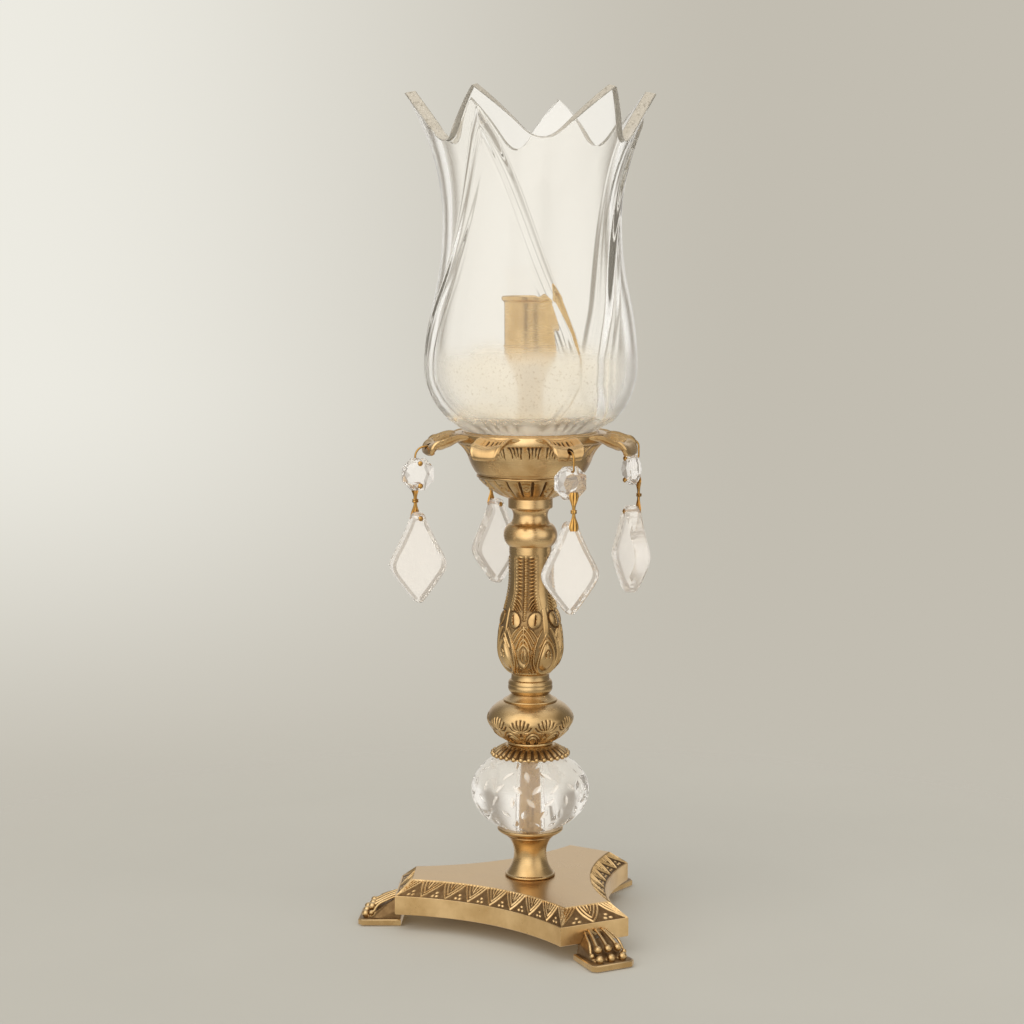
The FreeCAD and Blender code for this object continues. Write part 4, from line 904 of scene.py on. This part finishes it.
def drilled(shape, holes):  # takes round holes out of a closed shape
    points, faces, clean = shape
    mesh = bpy.data.meshes.new("drillWork")
    mesh.from_pydata(np.asarray(points).tolist(), [], faces)
    layer = mesh.attributes.new("carve", "FLOAT", "POINT")
    layer.data.foreach_set("value", np.asarray(clean, np.float32))
    work = linked("drillWork", mesh)
    tools = []
    for start, end, radius in holes:
        mesh = bmesh.new()
        tubeShape(mesh, [start, end], [radius, radius], 20)
        tools.append(settled(mesh, "drillTool"))
        cut = work.modifiers.new("cut", "BOOLEAN")
        cut.object = tools[-1]
        cut.operation = "DIFFERENCE"
        cut.solver = "EXACT"
    skin = evaluated(work)
    points = readField(skin.vertices, "co", 3)
    clean = readField(skin.attributes["carve"].data, "value", 1).ravel()
    faces = [tuple(p.vertices) for p in skin.polygons]
    cleared(skin, work, *tools)
    return points, faces, clean


def leafShape(pierced):
    # one arm along +X: scooped, veined, its tip rolled down and under
    s = leaf
    path = np.array(curve(s["path"], 12))
    length = np.concatenate([[0], np.cumsum(np.hypot(*np.diff(path, axis=0).T))])
    at = np.linspace(0, length[-1], s["rows"])
    r = np.interp(at, length, path[:, 0])
    z = np.interp(at, length, path[:, 1])
    tangent = np.gradient(np.column_stack([r, z]), axis=0)
    tangent /= np.hypot(tangent[:, 0], tangent[:, 1])[:, None]
    normal = np.column_stack([-tangent[:, 1], tangent[:, 0]])
    share = at / length[-1]
    half = np.interp(at, [*s["at"], length[-1]], s["half"])
    u = np.linspace(-1, 1, s["columns"])
    scoop = np.interp(share, *s["scoop"])
    rise = np.interp(share, *s["rise"])
    blunt = np.interp(share, *s["blunt"])
    thick = (1 - np.abs(u)[None, :] ** blunt[:, None]) ** 0.5 * s["thick"] / 2 * rise[:, None]
    # short strokes in the scoop, a raised lip before the roll
    a = at[:, None]
    side = np.abs(u)[None, :]
    vein = 0.5 + 0.5 * np.cos(2 * math.pi * side * 4.0 + 0 * a)
    window = smooth(a, 4, 6) * (1 - smooth(a, 12.0, 13.0)) * (1 - smooth(side, 0.54, 0.64))
    cut = window * np.clip(1.25 - 1.5 * vein, 0, 1)
    rib = bump(a - 14.2, 1.3) * (1 - smooth(side, 0.6, 0.9))
    border = smooth(side, 0.74, 0.86) * smooth(a, 2, 6)
    offset = scoop[:, None] * (u * u - 0.45)[None, :]
    up = offset + (thick - 0.8 * cut + 0.4 * rib + 0.3 * border)
    down = offset - thick
    # rings over the top and back underneath
    across = u * half[:, None]
    lift = np.hstack([up, down[:, -2:0:-1]])
    aside = np.hstack([across, across[:, -2:0:-1]])
    points = np.stack([r[:, None] + normal[:, :1] * lift, aside, z[:, None] + normal[:, 1:] * lift], -1)
    clean = np.hstack([1 - 0.95 * np.clip(cut * 1.3, 0, 1), np.full(down[:, 1:-1].shape, 0.75)])
    shape = (points.reshape(-1, 3), cappedGrid(*lift.shape), clean.ravel())
    if not pierced:
        return shape
    near, past, level, radius = s["hole"]
    return drilled(shape, [((near, 0, level), (past, 0, level), radius)])


bowlShapes = [turnedGrid(section([
    (23.8, 0.0, 0.3), (24.6, 0.5, 0.08), (28.3, 7.7, -0.16), (33.8, 15.0, 0.2), (34.6, 15.7, 0.1),
    (34.6, 18.5, 0.35), (33.8, 19.4), (31.2, 19.4), (31.2, 17.4), (28.8, 17.4, 0.1), (21.5, 2.5)], 0.32),
    bored(2.5), bowl["columns"], bowlRelief)]
leafShapes = (leafShape(True), leafShape(False))
for k in range(bowl["leaves"]):
    bowlShapes.append(placed(leafShapes[k % 2], bowl["turn"] + 360 / bowl["leaves"] * k))
addPiece("leafBowl", lifted(joined(*bowlShapes), stem["bowl"]), "stand", litBrass,
         ("leaf_bowl",), 48)
turnedPiece("seatPlate", "seat_plate", section([
    (30.6, 0.0, 0.2), (31.0, 0.4), (31.0, 1.7, 0.3), (30.4, 2.3)], 0.3),
    bored(2.3), stem["plate"], brushedBrass)
turnedPiece("cupPedestal", "cup_pedestal", section([
    (10.1, 0.0, 0.3), (10.5, 0.5), (10.5, 1.5, 0.3), (10.0, 2.0), (7.2, 2.1, -upright(1.6, 12.9)),
    (5.6, 15.0, -upright(3.4, 13.6)), (9.0, 28.6), (9.0, 29.0), (3.0, 29.0), (3.0, 35.0)], 0.3),
    [(0.4, 35.0), (0.4, 14.5), (3.05, 14.5), (3.05, 0.0)], stem["shade"], antiqueBrass)
turnedPiece("candleCup", "candle_cup", section([
    (8.8, 0.0, 0.2), (9.2, 0.4, 0.12), (11.9, 7.0), (11.9, 9.2, 0.4), (12.3, 9.7, 0.4), (11.9, 10.2),
    (11.9, 28.4, -0.25), (12.8, 30.0, 0.3), (13.2, 31.0, 0.35), (12.5, 32.0, 0.2), (11.4, 31.8),
    (11.0, 31.2)], 0.3),
    [(11.0, 7.0), (3.05, 7.0), (3.05, 0.0)], stem["candle"], litCupBrass)
print("bowl and candle cup made")


# petal shade: three raised petals over three more, six tips on the rim

shade = {
    "turn": -54.2, "tips": (-54.2, 12.8, 65.8, 137.8, 185.8, 245.8), "wall": 4.0, "rim": 6.0, "tall": 151.0,
    "columns": 600, "rows": 190, "step": 1.3, "deep": 22.0, "bend": 0.62, "straight": 100.0,
    "ground": (30.0, 42.5), "inside": 6.2,
    "foot": ((25.4, 5.0), (20.6, 5.0), (20.0, 4.4), (20.0, 0.5), (20.5, 0.0), (28.4, 0.0)),
    "edge": ((0.06, -0.05, 0.6), (0.14, 0.0, 0.15), (0.5, 0.0, 0.15), (0.86, 0.0, 0.15),
             (0.94, -0.05, 0.6))}
shadeOuter = section([
    (29.0, 0.0, upright(18.0, 29.5)), (47.0, 29.5, upright(7.4, 64.5)), (43.3, 61.75, -upright(7.4, 64.5)),
    (39.6, 94.0, -upright(16.8, 57.0)), (56.4, shade["tall"])], 0.5)
petalEdge = np.array([
    (0.0, 34.0), (3.3, 38.7), (6.3, 43.5), (14.3, 50.0), (23.3, 54.5), (34.3, 54.4), (45.3, 50.6),
    (59.3, 44.0), (75.3, 36.0), (93.3, 27.0), (112.3, 17.0), (130.3, 7.0), (141.0, 0.0), (156.0, -9.0)])


def shadePiece():
    s = shade
    tall, columns = s["tall"], s["columns"]
    theta = np.arange(columns) * 2 * math.pi / columns
    # tips stand at their own bearings; straight sides run down to a rounded notch
    first = s["tips"][0]
    knots = [tip - first for tip in s["tips"]] + [360.0]
    place = np.interp((np.degrees(theta) - first) % 360, knots, np.arange(7) * 60.0)
    lobe = np.abs((place + 30) % 60 - 30) / 30
    bend = s["bend"]
    fall = 2 / (1 + bend) * (lobe - np.clip(lobe - bend, 0, 1) ** 2 / (2 * (1 - bend)))
    crown = tall - s["deep"] * fall
    t = np.linspace(0, 1, s["rows"])[:, None]
    share = s["straight"] / tall
    upper = s["straight"] + (crown - s["straight"])[None, :] * (t - share) / (1 - share)
    z = np.where(t < share, t * tall, upper)
    outR, outZ = shadeOuter.T
    profile = np.interp(z, outZ, outR)
    slope = np.interp(z, outZ, np.gradient(outR, outZ + 1e-6 * np.arange(len(outZ))))
    slope = np.clip(slope, -1.5, 2.2)
    lean = 1 / np.sqrt(1 + slope * slope)
    phi = np.abs((np.degrees(theta) - s["turn"] + 60) % 120 - 60)[None, :]
    edge = np.interp(z, petalEdge[:, 0], petalEdge[:, 1])
    away = np.radians(edge - phi) * profile * 0.85  # positive inside a petal
    lift = s["step"] * smooth(away, -0.9, 1.6) + 0.35 * bump(away - 2.6, 1.8) + 0.12 * bump(away - 6.5, 2.2)
    lift *= smooth(z, 1.0, 8.0)
    outerR = profile + lift * lean
    outerZ = z - lift * lean * slope
    thick = s["wall"] * (0.9 + 0.1 * smooth(z, 20, 90)) + (s["rim"] - s["wall"]) * smooth(z, 90, 140)
    innerR = profile - thick * lean
    innerZ = np.maximum(z + thick * lean * slope * (1 - 0.7 * smooth(z, 100, 140)), 5.0)
    low = int(np.argmax(t[:, 0] * tall > s["inside"]))
    innerR = innerR[low:][::-1]
    innerZ = innerZ[low:][::-1]
    # flat ground rim between two eased edges
    rimR, rimZ, rimClean = [], [], []
    for across, sink, clean in s["edge"]:
        rimR.append(outerR[-1] + (innerR[0] - outerR[-1]) * across)
        rimZ.append(outerZ[-1] + (innerZ[0] - outerZ[-1]) * across + 0.35 + sink)
        rimClean.append(np.full(columns, clean))
    footR, footZ = (np.repeat(np.array(side)[:, None], columns, 1) for side in zip(*s["foot"]))
    r = np.vstack([outerR[1:], rimR, innerR, footR])
    height = np.vstack([outerZ[1:], rimZ, innerZ, footZ])
    # ground inside the lower wall, streaked round the foot; there a cream veil glows with painted light
    ripple = 0.7 * np.sin(theta * 5 + 1.0) + 0.5 * np.sin(theta * 11 + 2.0)
    inside = 1 - 0.9 * (1 - smooth(innerZ + ripple, *s["ground"])) * smooth(innerZ, 5.5, 9.0)
    streak = 0.65 + 0.35 * np.sin(theta * 36 + 3 * np.sin(theta * 7))
    outside = 1 - 6 * (1 - smooth(outerZ[1:], 2.5, 9.0)) * streak
    clean = np.vstack([outside, rimClean, inside, np.full(footR.shape, 0.2)])
    points = np.stack([r * np.sin(theta), -r * np.cos(theta), height + stem["shade"]], -1).reshape(-1, 3)
    shape = (points, gridFaces(len(r), columns, wrapRows=True), clean)
    piece = addPiece("glassShade", shape, "shade", clearGlass, ("glass_shade",), 40)
    piece.data.materials.append(rimGlass)
    band = np.zeros(r.shape, np.int32)
    start = len(outerZ) - 2
    band[start:start + len(rimR) + 1] = 1
    piece.data.polygons.foreach_set("material_index", band.ravel())


shadePiece()
print("shade made")


# chains of hook, octagon, bow-tie link and kite drop

chain = {
    "arms": (-7.2, 82.8, 172.8, 262.8), "facing": (174.8, -92.2, 10.8, -6.2), "hole": (50.3, 223.9),
    "bend": (3.2, 3.2, 3.2, 4.7), "drop": (8.4, 8.4, 8.4, 7.0), "gap": 3.75, "wire": 0.45, "pin": 7.05,
    "pinHole": 0.8, "below": {"octagon": 0.0, "link": 10.0, "drop": 24.6}}


def wireShape(path, radius, sides=12):
    # round wire along a path in space, its frame carried along without twist
    path = np.array(path, float)
    ahead = np.gradient(path, axis=0)
    ahead /= np.linalg.norm(ahead, axis=1)[:, None]
    side = np.cross(ahead[0], (0.3, 0.9, 0.1))
    side /= np.linalg.norm(side)
    rings = []
    for p, d in zip(path, ahead):
        side = side - d * np.dot(side, d)
        side /= np.linalg.norm(side)
        up = np.cross(d, side)
        a = np.arange(sides) * 2 * math.pi / sides
        rings.append(p + radius * (np.cos(a)[:, None] * side + np.sin(a)[:, None] * up))
    return np.vstack(rings), cappedGrid(len(path), sides), np.ones(len(path) * sides)


def buttonShape(at, ahead, radius, height, columns=16):
    # round-headed button standing on a plane
    line = section([(radius * 0.9, 0.0, 0.3), (radius, height * 0.35, 0.35), (0.05, height)], 0.12)
    theta = np.arange(columns) * 2 * math.pi / columns
    ahead = np.array(ahead, float)
    side = np.cross(ahead, (0, 0, 1.0))
    side /= np.linalg.norm(side)
    up = np.cross(side, ahead)
    rings = [np.array(at) + ahead * h + r * (np.cos(theta)[:, None] * side + np.sin(theta)[:, None] * up)
             for r, h in line]
    return np.vstack(rings), cappedGrid(len(rings), columns), np.ones(len(rings) * columns)


def arc3(centre, a, b, start, end, count=7):  # arc from centre along a and b, angles in degrees
    centre, a, b = np.array(centre), np.array(a), np.array(b)
    turns = [math.radians(t) for t in np.linspace(start, end, count)]
    return [centre + a * math.cos(t) + b * math.sin(t) for t in turns]


def hookShape(swing, bend, drop):
    # +X out along the arm: tail behind the leaf, bend over its tip, straight drop, pin along the facing
    face = np.array([math.cos(math.radians(swing)), math.sin(math.radians(swing)), 0])
    low = np.array([bend, 0, 1 - drop])
    path = [(-2.4, 0, -1.7)]
    path += arc3((-1.4, 0, -1.0), (1, 0, 0), (0, 0, 1), 180, 90)
    path += arc3((0, 0, -bend), (bend, 0, 0), (0, 0, bend), 90, 0, 9)
    path += [(bend, 0, -bend + (low[2] + bend) * share) for share in (0.35, 0.7)]
    path += arc3(low + face, -face, (0, 0, -1), 0, 90)
    path += [low + face * out + (0, 0, -1) for out in (3, 5.2, chain["pin"])]
    return joined(wireShape(path, chain["wire"]), buttonShape(path[-1], face, 1.15, 0.9))


def drilledStone(points, faces, levels):  # pin holes at some heights, clear all over
    holes = [((-6, 0, z), (6, 0, z), chain["pinHole"]) for z in levels]
    points, faces, clean = drilled((points, faces, np.ones(len(points))), holes)
    return points, faces, np.ones_like(clean)


def octagonShape():
    # +X is the face: octagon girdle, turned table, star facets between
    front, girdle = 3.0, 0.9
    ring = [(7.79 * math.cos(math.radians(45 * k + 22.5)), 7.79 * math.sin(math.radians(45 * k + 22.5)))
            for k in range(8)]
    table = [(4.5 * math.cos(math.radians(45 * k)), 4.5 * math.sin(math.radians(45 * k))) for k in range(8)]
    points = []
    for x, outline in ((-front, table), (-girdle, ring), (girdle, ring), (front, table)):
        points += [(x, y, z - 5.0) for y, z in outline]
    faces = [tuple(reversed(range(8))), tuple(range(24, 32))]
    for k in range(8):
        n = (k + 1) % 8
        faces += [(8 + k, 8 + n, 16 + n, 16 + k)]
        faces += [(16 + k, 24 + n, 24 + k), (16 + k, 16 + n, 24 + n)]
        faces += [(8 + k, k, n), (8 + k, n, 8 + n)]
    return drilledStone(points, faces, (0, -10))


def dropShape():
    # +X is the face: kite outline with a chipped edge, wide bevels, flat table
    half = [(0.0, 2.6), (1.5, 2.5), (2.7, 1.1), (5.0, -4.2), (8.4, -11.0), (11.6, -16.8), (12.8, -19.8),
            (12.7, -22.4), (11.4, -25.2), (8.3, -29.4), (4.8, -33.8), (1.5, -37.6), (0.0, -38.2)]
    right = np.array(curve(half, 8))
    line = np.vstack([right, right[-2:0:-1] * (-1, 1)])[::-1]
    step = np.linalg.norm(np.diff(np.vstack([line, line[:1]]), axis=0), axis=1)
    at = np.concatenate([[0], np.cumsum(step)])
    count = 330
    where = np.linspace(0, at[-1], count, endpoint=False)
    closed = np.vstack([line, line[:1]])
    y = np.interp(where, at, closed[:, 0])
    z = np.interp(where, at, closed[:, 1])
    chip = -0.16 * np.abs(np.sin(where * math.pi / 3.4)) ** 1.5
    out = np.column_stack([y, z])
    away = np.roll(out, -1, 0) - np.roll(out, 1, 0)
    away = np.column_stack([away[:, 1], -away[:, 0]]) / np.linalg.norm(away, axis=1)[:, None]
    centre = np.array([0.0, -19.5])
    rows = []
    for x, grow, scale in ((-4.0, 0, 0.9), (-2.5, 0, 0.985), (-1.5, 1, 1.0), (1.5, 1, 1.0), (2.5, 0, 0.985),
                           (4.0, 0, 0.9)):
        shape = centre + (out + away * chip[:, None] * grow - centre) * scale
        rows.append(np.column_stack([np.full(count, x), shape]))
    return drilledStone(np.vstack(rows), cappedGrid(len(rows), count), (0,))


def linkShape():
    # bow-tie strip behind the stones: two pleated fans and a knot, prongs through the holes
    back = -3.8
    knot = -7.3
    shapes = []
    for sign in (1, -1):
        rows = []
        for i in range(15):
            t = i / 14
            width = 0.8 + 1.5 * smooth(np.array(t), 0.08, 0.8) - 0.5 * smooth(np.array(t), 0.8, 1.0)
            z = knot + sign * (0.6 + 7.9 * t)
            u = np.linspace(-1, 1, 13)
            pleat = 0.18 * np.cos(u * 3 * math.pi) * smooth(np.array(t), 0.1, 0.5)
            thick = 0.5 * (1 - np.abs(u) ** 4) ** 0.5
            ring = [(back + p + h, a * width, z) for a, p, h in zip(u, pleat, thick)]
            ring += [(back + p - h, a * width, z) for a, p, h in list(zip(u, pleat, thick))[::-1][1:-1]]
            rows.append(ring)
        count = len(rows[0])
        faces = cappedGrid(len(rows), count)
        if sign > 0:
            faces = [tuple(reversed(face)) for face in faces]
        shapes.append((np.array(rows).reshape(-1, 3), faces, np.ones(len(rows) * count)))
    for z in (-6.9, -7.7):
        shapes.append(wireShape([(back + 0.6 * math.cos(a), 1.05 * math.sin(a), z) for a in
                                 np.linspace(0, 2 * math.pi, 15)], 0.45, 8))
    for z in (0.0, -14.6):
        shapes.append(wireShape([(back, 0, z), (0, 0, z), (3.35, 0, z)], 0.55))
        shapes.append(buttonShape((3.3, 0, z), (1, 0, 0), 1.2, 1.0))
    shapes.append(wireShape([(back - 0.75, 0, -7.9), (back - 0.95, 0, -7.3), (back - 0.75, 0, -6.7)], 0.7))
    return joined(*shapes)


stones = (
    ("octagonStone", "octagon", octagonShape(), "cut_crystal", octagonCrystal, 12),
    ("bowTieLink", "link", linkShape(), "brass_wire", wireBrass, 40),
    ("kiteDrop", "drop", dropShape(), "cut_crystal", cutCrystal, 12))
for k in range(len(chain["arms"])):
    s = chain
    number = k + 1
    arm, facing = s["arms"][k], s["facing"][k]
    hook = hookShape(facing - arm, s["bend"][k], s["drop"][k])
    at = bearingXY(arm) * s["hole"][0]
    label = "hook_%d" % number
    addPiece("wireHook.%d" % number, placed(hook, arm, (at[0], at[1], s["hole"][1])), label,
             wireBrass, (label,))
    spot = bearingXY(arm) * (s["hole"][0] + s["bend"][k]) + bearingXY(facing) * s["gap"]
    for name, node, shape, slot, finish, sharp in stones:
        label = "%s_%d" % (node, number)
        level = s["hole"][1] - s["drop"][k] - s["below"][node]
        addPiece("%s.%d" % (name, number), placed(shape, facing, (spot[0], spot[1], level)), label,
                 finish, (label,), sharp)
print("chains made")


# inner fixings keep their CAD shape under a plain finish

def plainFinish(name, low, high, rough):
    f = material(name)
    spot = f.add("TexCoord", out=3)
    cloud = noise(f, spot, 130, 4, 0.6)
    fleck = noise(f, spot, 1500, 2, 0.5)
    shader = f.add("BsdfPrincipled", None, {
        "Base Color": f.mix(cloud, low, high), "Roughness": rough + (cloud - 0.5) * 0.2, "Metallic": 1.0,
        "Normal": f.add("Bump", None, {"Strength": 0.15, "Distance": 0.0001, "Height": fleck})})
    f.add("OutputMaterial", None, {"Surface": shader})
    return f.owner


plainBrass = plainFinish("plainBrass", colour(168, 132, 84), colour(206, 172, 122), 0.28)
plainSteel = plainFinish("plainSteel", colour(120, 118, 114), colour(186, 184, 180), 0.34)
for name, finish in (("ball_sleeve", plainBrass), ("tie_rod", plainSteel), ("base_washer", plainSteel),
                     ("base_nut", plainSteel), ("foot_screws", plainSteel)):
    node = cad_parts[name]
    node.data.materials.clear()
    node.data.materials.append(finish)
print("fixings finished")


# stage: pale floor that fades into the backdrop, soft studio light

view = {
    "turn": -27.2, "away": 1.0, "aside": 0.00843, "height": 0.3084, "tilt": 83.38, "lens": 77.55,
    "sensor": 36, "near": 0.01}
turn = math.radians(view["turn"])
rightWay = Vector((math.cos(turn), math.sin(turn), 0))
camera = bpy.data.cameras.new("mainCamera")
camera.lens = view["lens"]
camera.sensor_width = view["sensor"]
camera.clip_start = view["near"]
eye = linked("mainCamera", camera)
place = Vector((math.sin(turn), -math.cos(turn), 0)) * view["away"] - rightWay * view["aside"]
eye.location = (place.x, place.y, view["height"])
eye.rotation_euler = (math.radians(view["tilt"]), 0, turn)
bpy.context.scene.camera = eye

# lobes are soft patches of light: bearing as the camera sees it, rise, half width, power
studio = {
    "tint": (1.0, 0.975, 0.93), "fill": (-0.6, 0.5, 0.24, 0.30),
    "lobes": ((-28, 24, 60, 1.45), (52, 14, 36, 1.0), (10, 84, 62, 0.9), (180, 10, 42, 0.5),
              (-8, -16, 44, 0.45))}
world = bpy.data.worlds.new("studio")
bpy.context.scene.world = world
w = Finish(world)
way = w.add("TexCoord", out=0)


def along(aim):  # how far the view runs along a direction
    return w.add("VectorMath", {"operation": "DOT_PRODUCT"}, {0: way, 1: aim}, 1)


side = along(tuple(rightWay))
height = w.add("SeparateXYZ", None, {"Vector": way}, 2)
# backdrop as the camera sees it: a soft glow to the left, greyer to the right and below
glow = ranged(w, side * -1, -0.12, 0.24) * ranged(w, height, -0.26, -0.05)
back = w.mix(glow, colour(194, 189, 177), colour(237, 235, 226))
# painted backdrop seen only through glass: pale, with a grey band that draws dark lines in the glass, and
# then white towards both sides
away = side.sum("MAXIMUM", side, side * -1)
through = w.mix(ranged(w, away, 0.15, 0.32), colour(245, 242, 235), colour(150, 142, 131))
through = w.mix(ranged(w, away, 0.38, 0.58), through, colour(255, 253, 248))
level = ranged(w, height, *studio["fill"])
for bearing, rise, wide, power in studio["lobes"]:
    a = math.radians(bearing) + turn
    e = math.radians(rise)
    aim = (math.sin(a) * math.cos(e), -math.cos(a) * math.cos(e), math.sin(e))
    level = level + ranged(w, along(aim), math.cos(math.radians(wide)), 1.0, 0.0, power)
dome = w.add("VectorMath", {"operation": "SCALE"}, {0: studio["tint"], "Scale": level})
path = w.tree.nodes.new("ShaderNodeLightPath")
seen = Wire(w.tree, path.outputs["Is Camera Ray"])
passed = Wire(w.tree, path.outputs["Is Transmission Ray"])
light = w.mix(passed, dome, through)
light = w.mix(seen, light, back)
w.add("OutputWorld", None, {"Surface": w.add("Background", None, {"Color": light, "Strength": 1.0})})

stage = {
    "rings": (0.1, 0.2, 0.4, 0.8, 1.6, 3.2), "steps": 48, "level": -0.0002, "fade": (0.12, 0.55),
    "shine": 0.55}
floor = bpy.data.meshes.new("floor")
steps = stage["steps"]
spots = [(0, 0, stage["level"])]
for r in stage["rings"]:
    for k in range(steps):
        a = 2 * math.pi * k / steps
        spots.append((r * math.cos(a), r * math.sin(a), stage["level"]))
tiles = [(0, 1 + k, 1 + (k + 1) % steps) for k in range(steps)]
for i in range(len(stage["rings"]) - 1):
    for k in range(steps):
        a = 1 + steps * i + k
        b = 1 + steps * i + (k + 1) % steps
        tiles.append((a, a + steps, b + steps, b))
floor.from_pydata(spots, [], tiles)
table = linked("floor", floor)
f = material("paleFloor")
spot = f.add("TexCoord", out=3)
reach = f.add("VectorMath", {"operation": "LENGTH"}, {0: spot}, 1)
fade = ranged(f, reach, *stage["fade"])
paper = noise(f, spot, 8, 2, 0.5)
cover = f.add("BsdfDiffuse", None, {"Color": f.mix(paper, colour(188, 186, 178), colour(194, 192, 184))})
# painted light: seen in reflections on the metal the floor glows brighter than it is lit
path = f.tree.nodes.new("ShaderNodeLightPath")
shine = Wire(f.tree, path.outputs["Is Glossy Ray"])
bright = f.add("Emission", None, {"Color": colour(240, 236, 226)})
cover = f.add("MixShader", None, {0: shine * stage["shine"], 1: cover, 2: bright})
cover = f.add("MixShader", None, {0: fade, 1: cover, 2: f.add("BsdfTransparent")})
f.add("OutputMaterial", None, {"Surface": cover})
floor.materials.append(f.owner)

bpy.context.scene.view_settings.view_transform = "Standard"

print("scene ready")
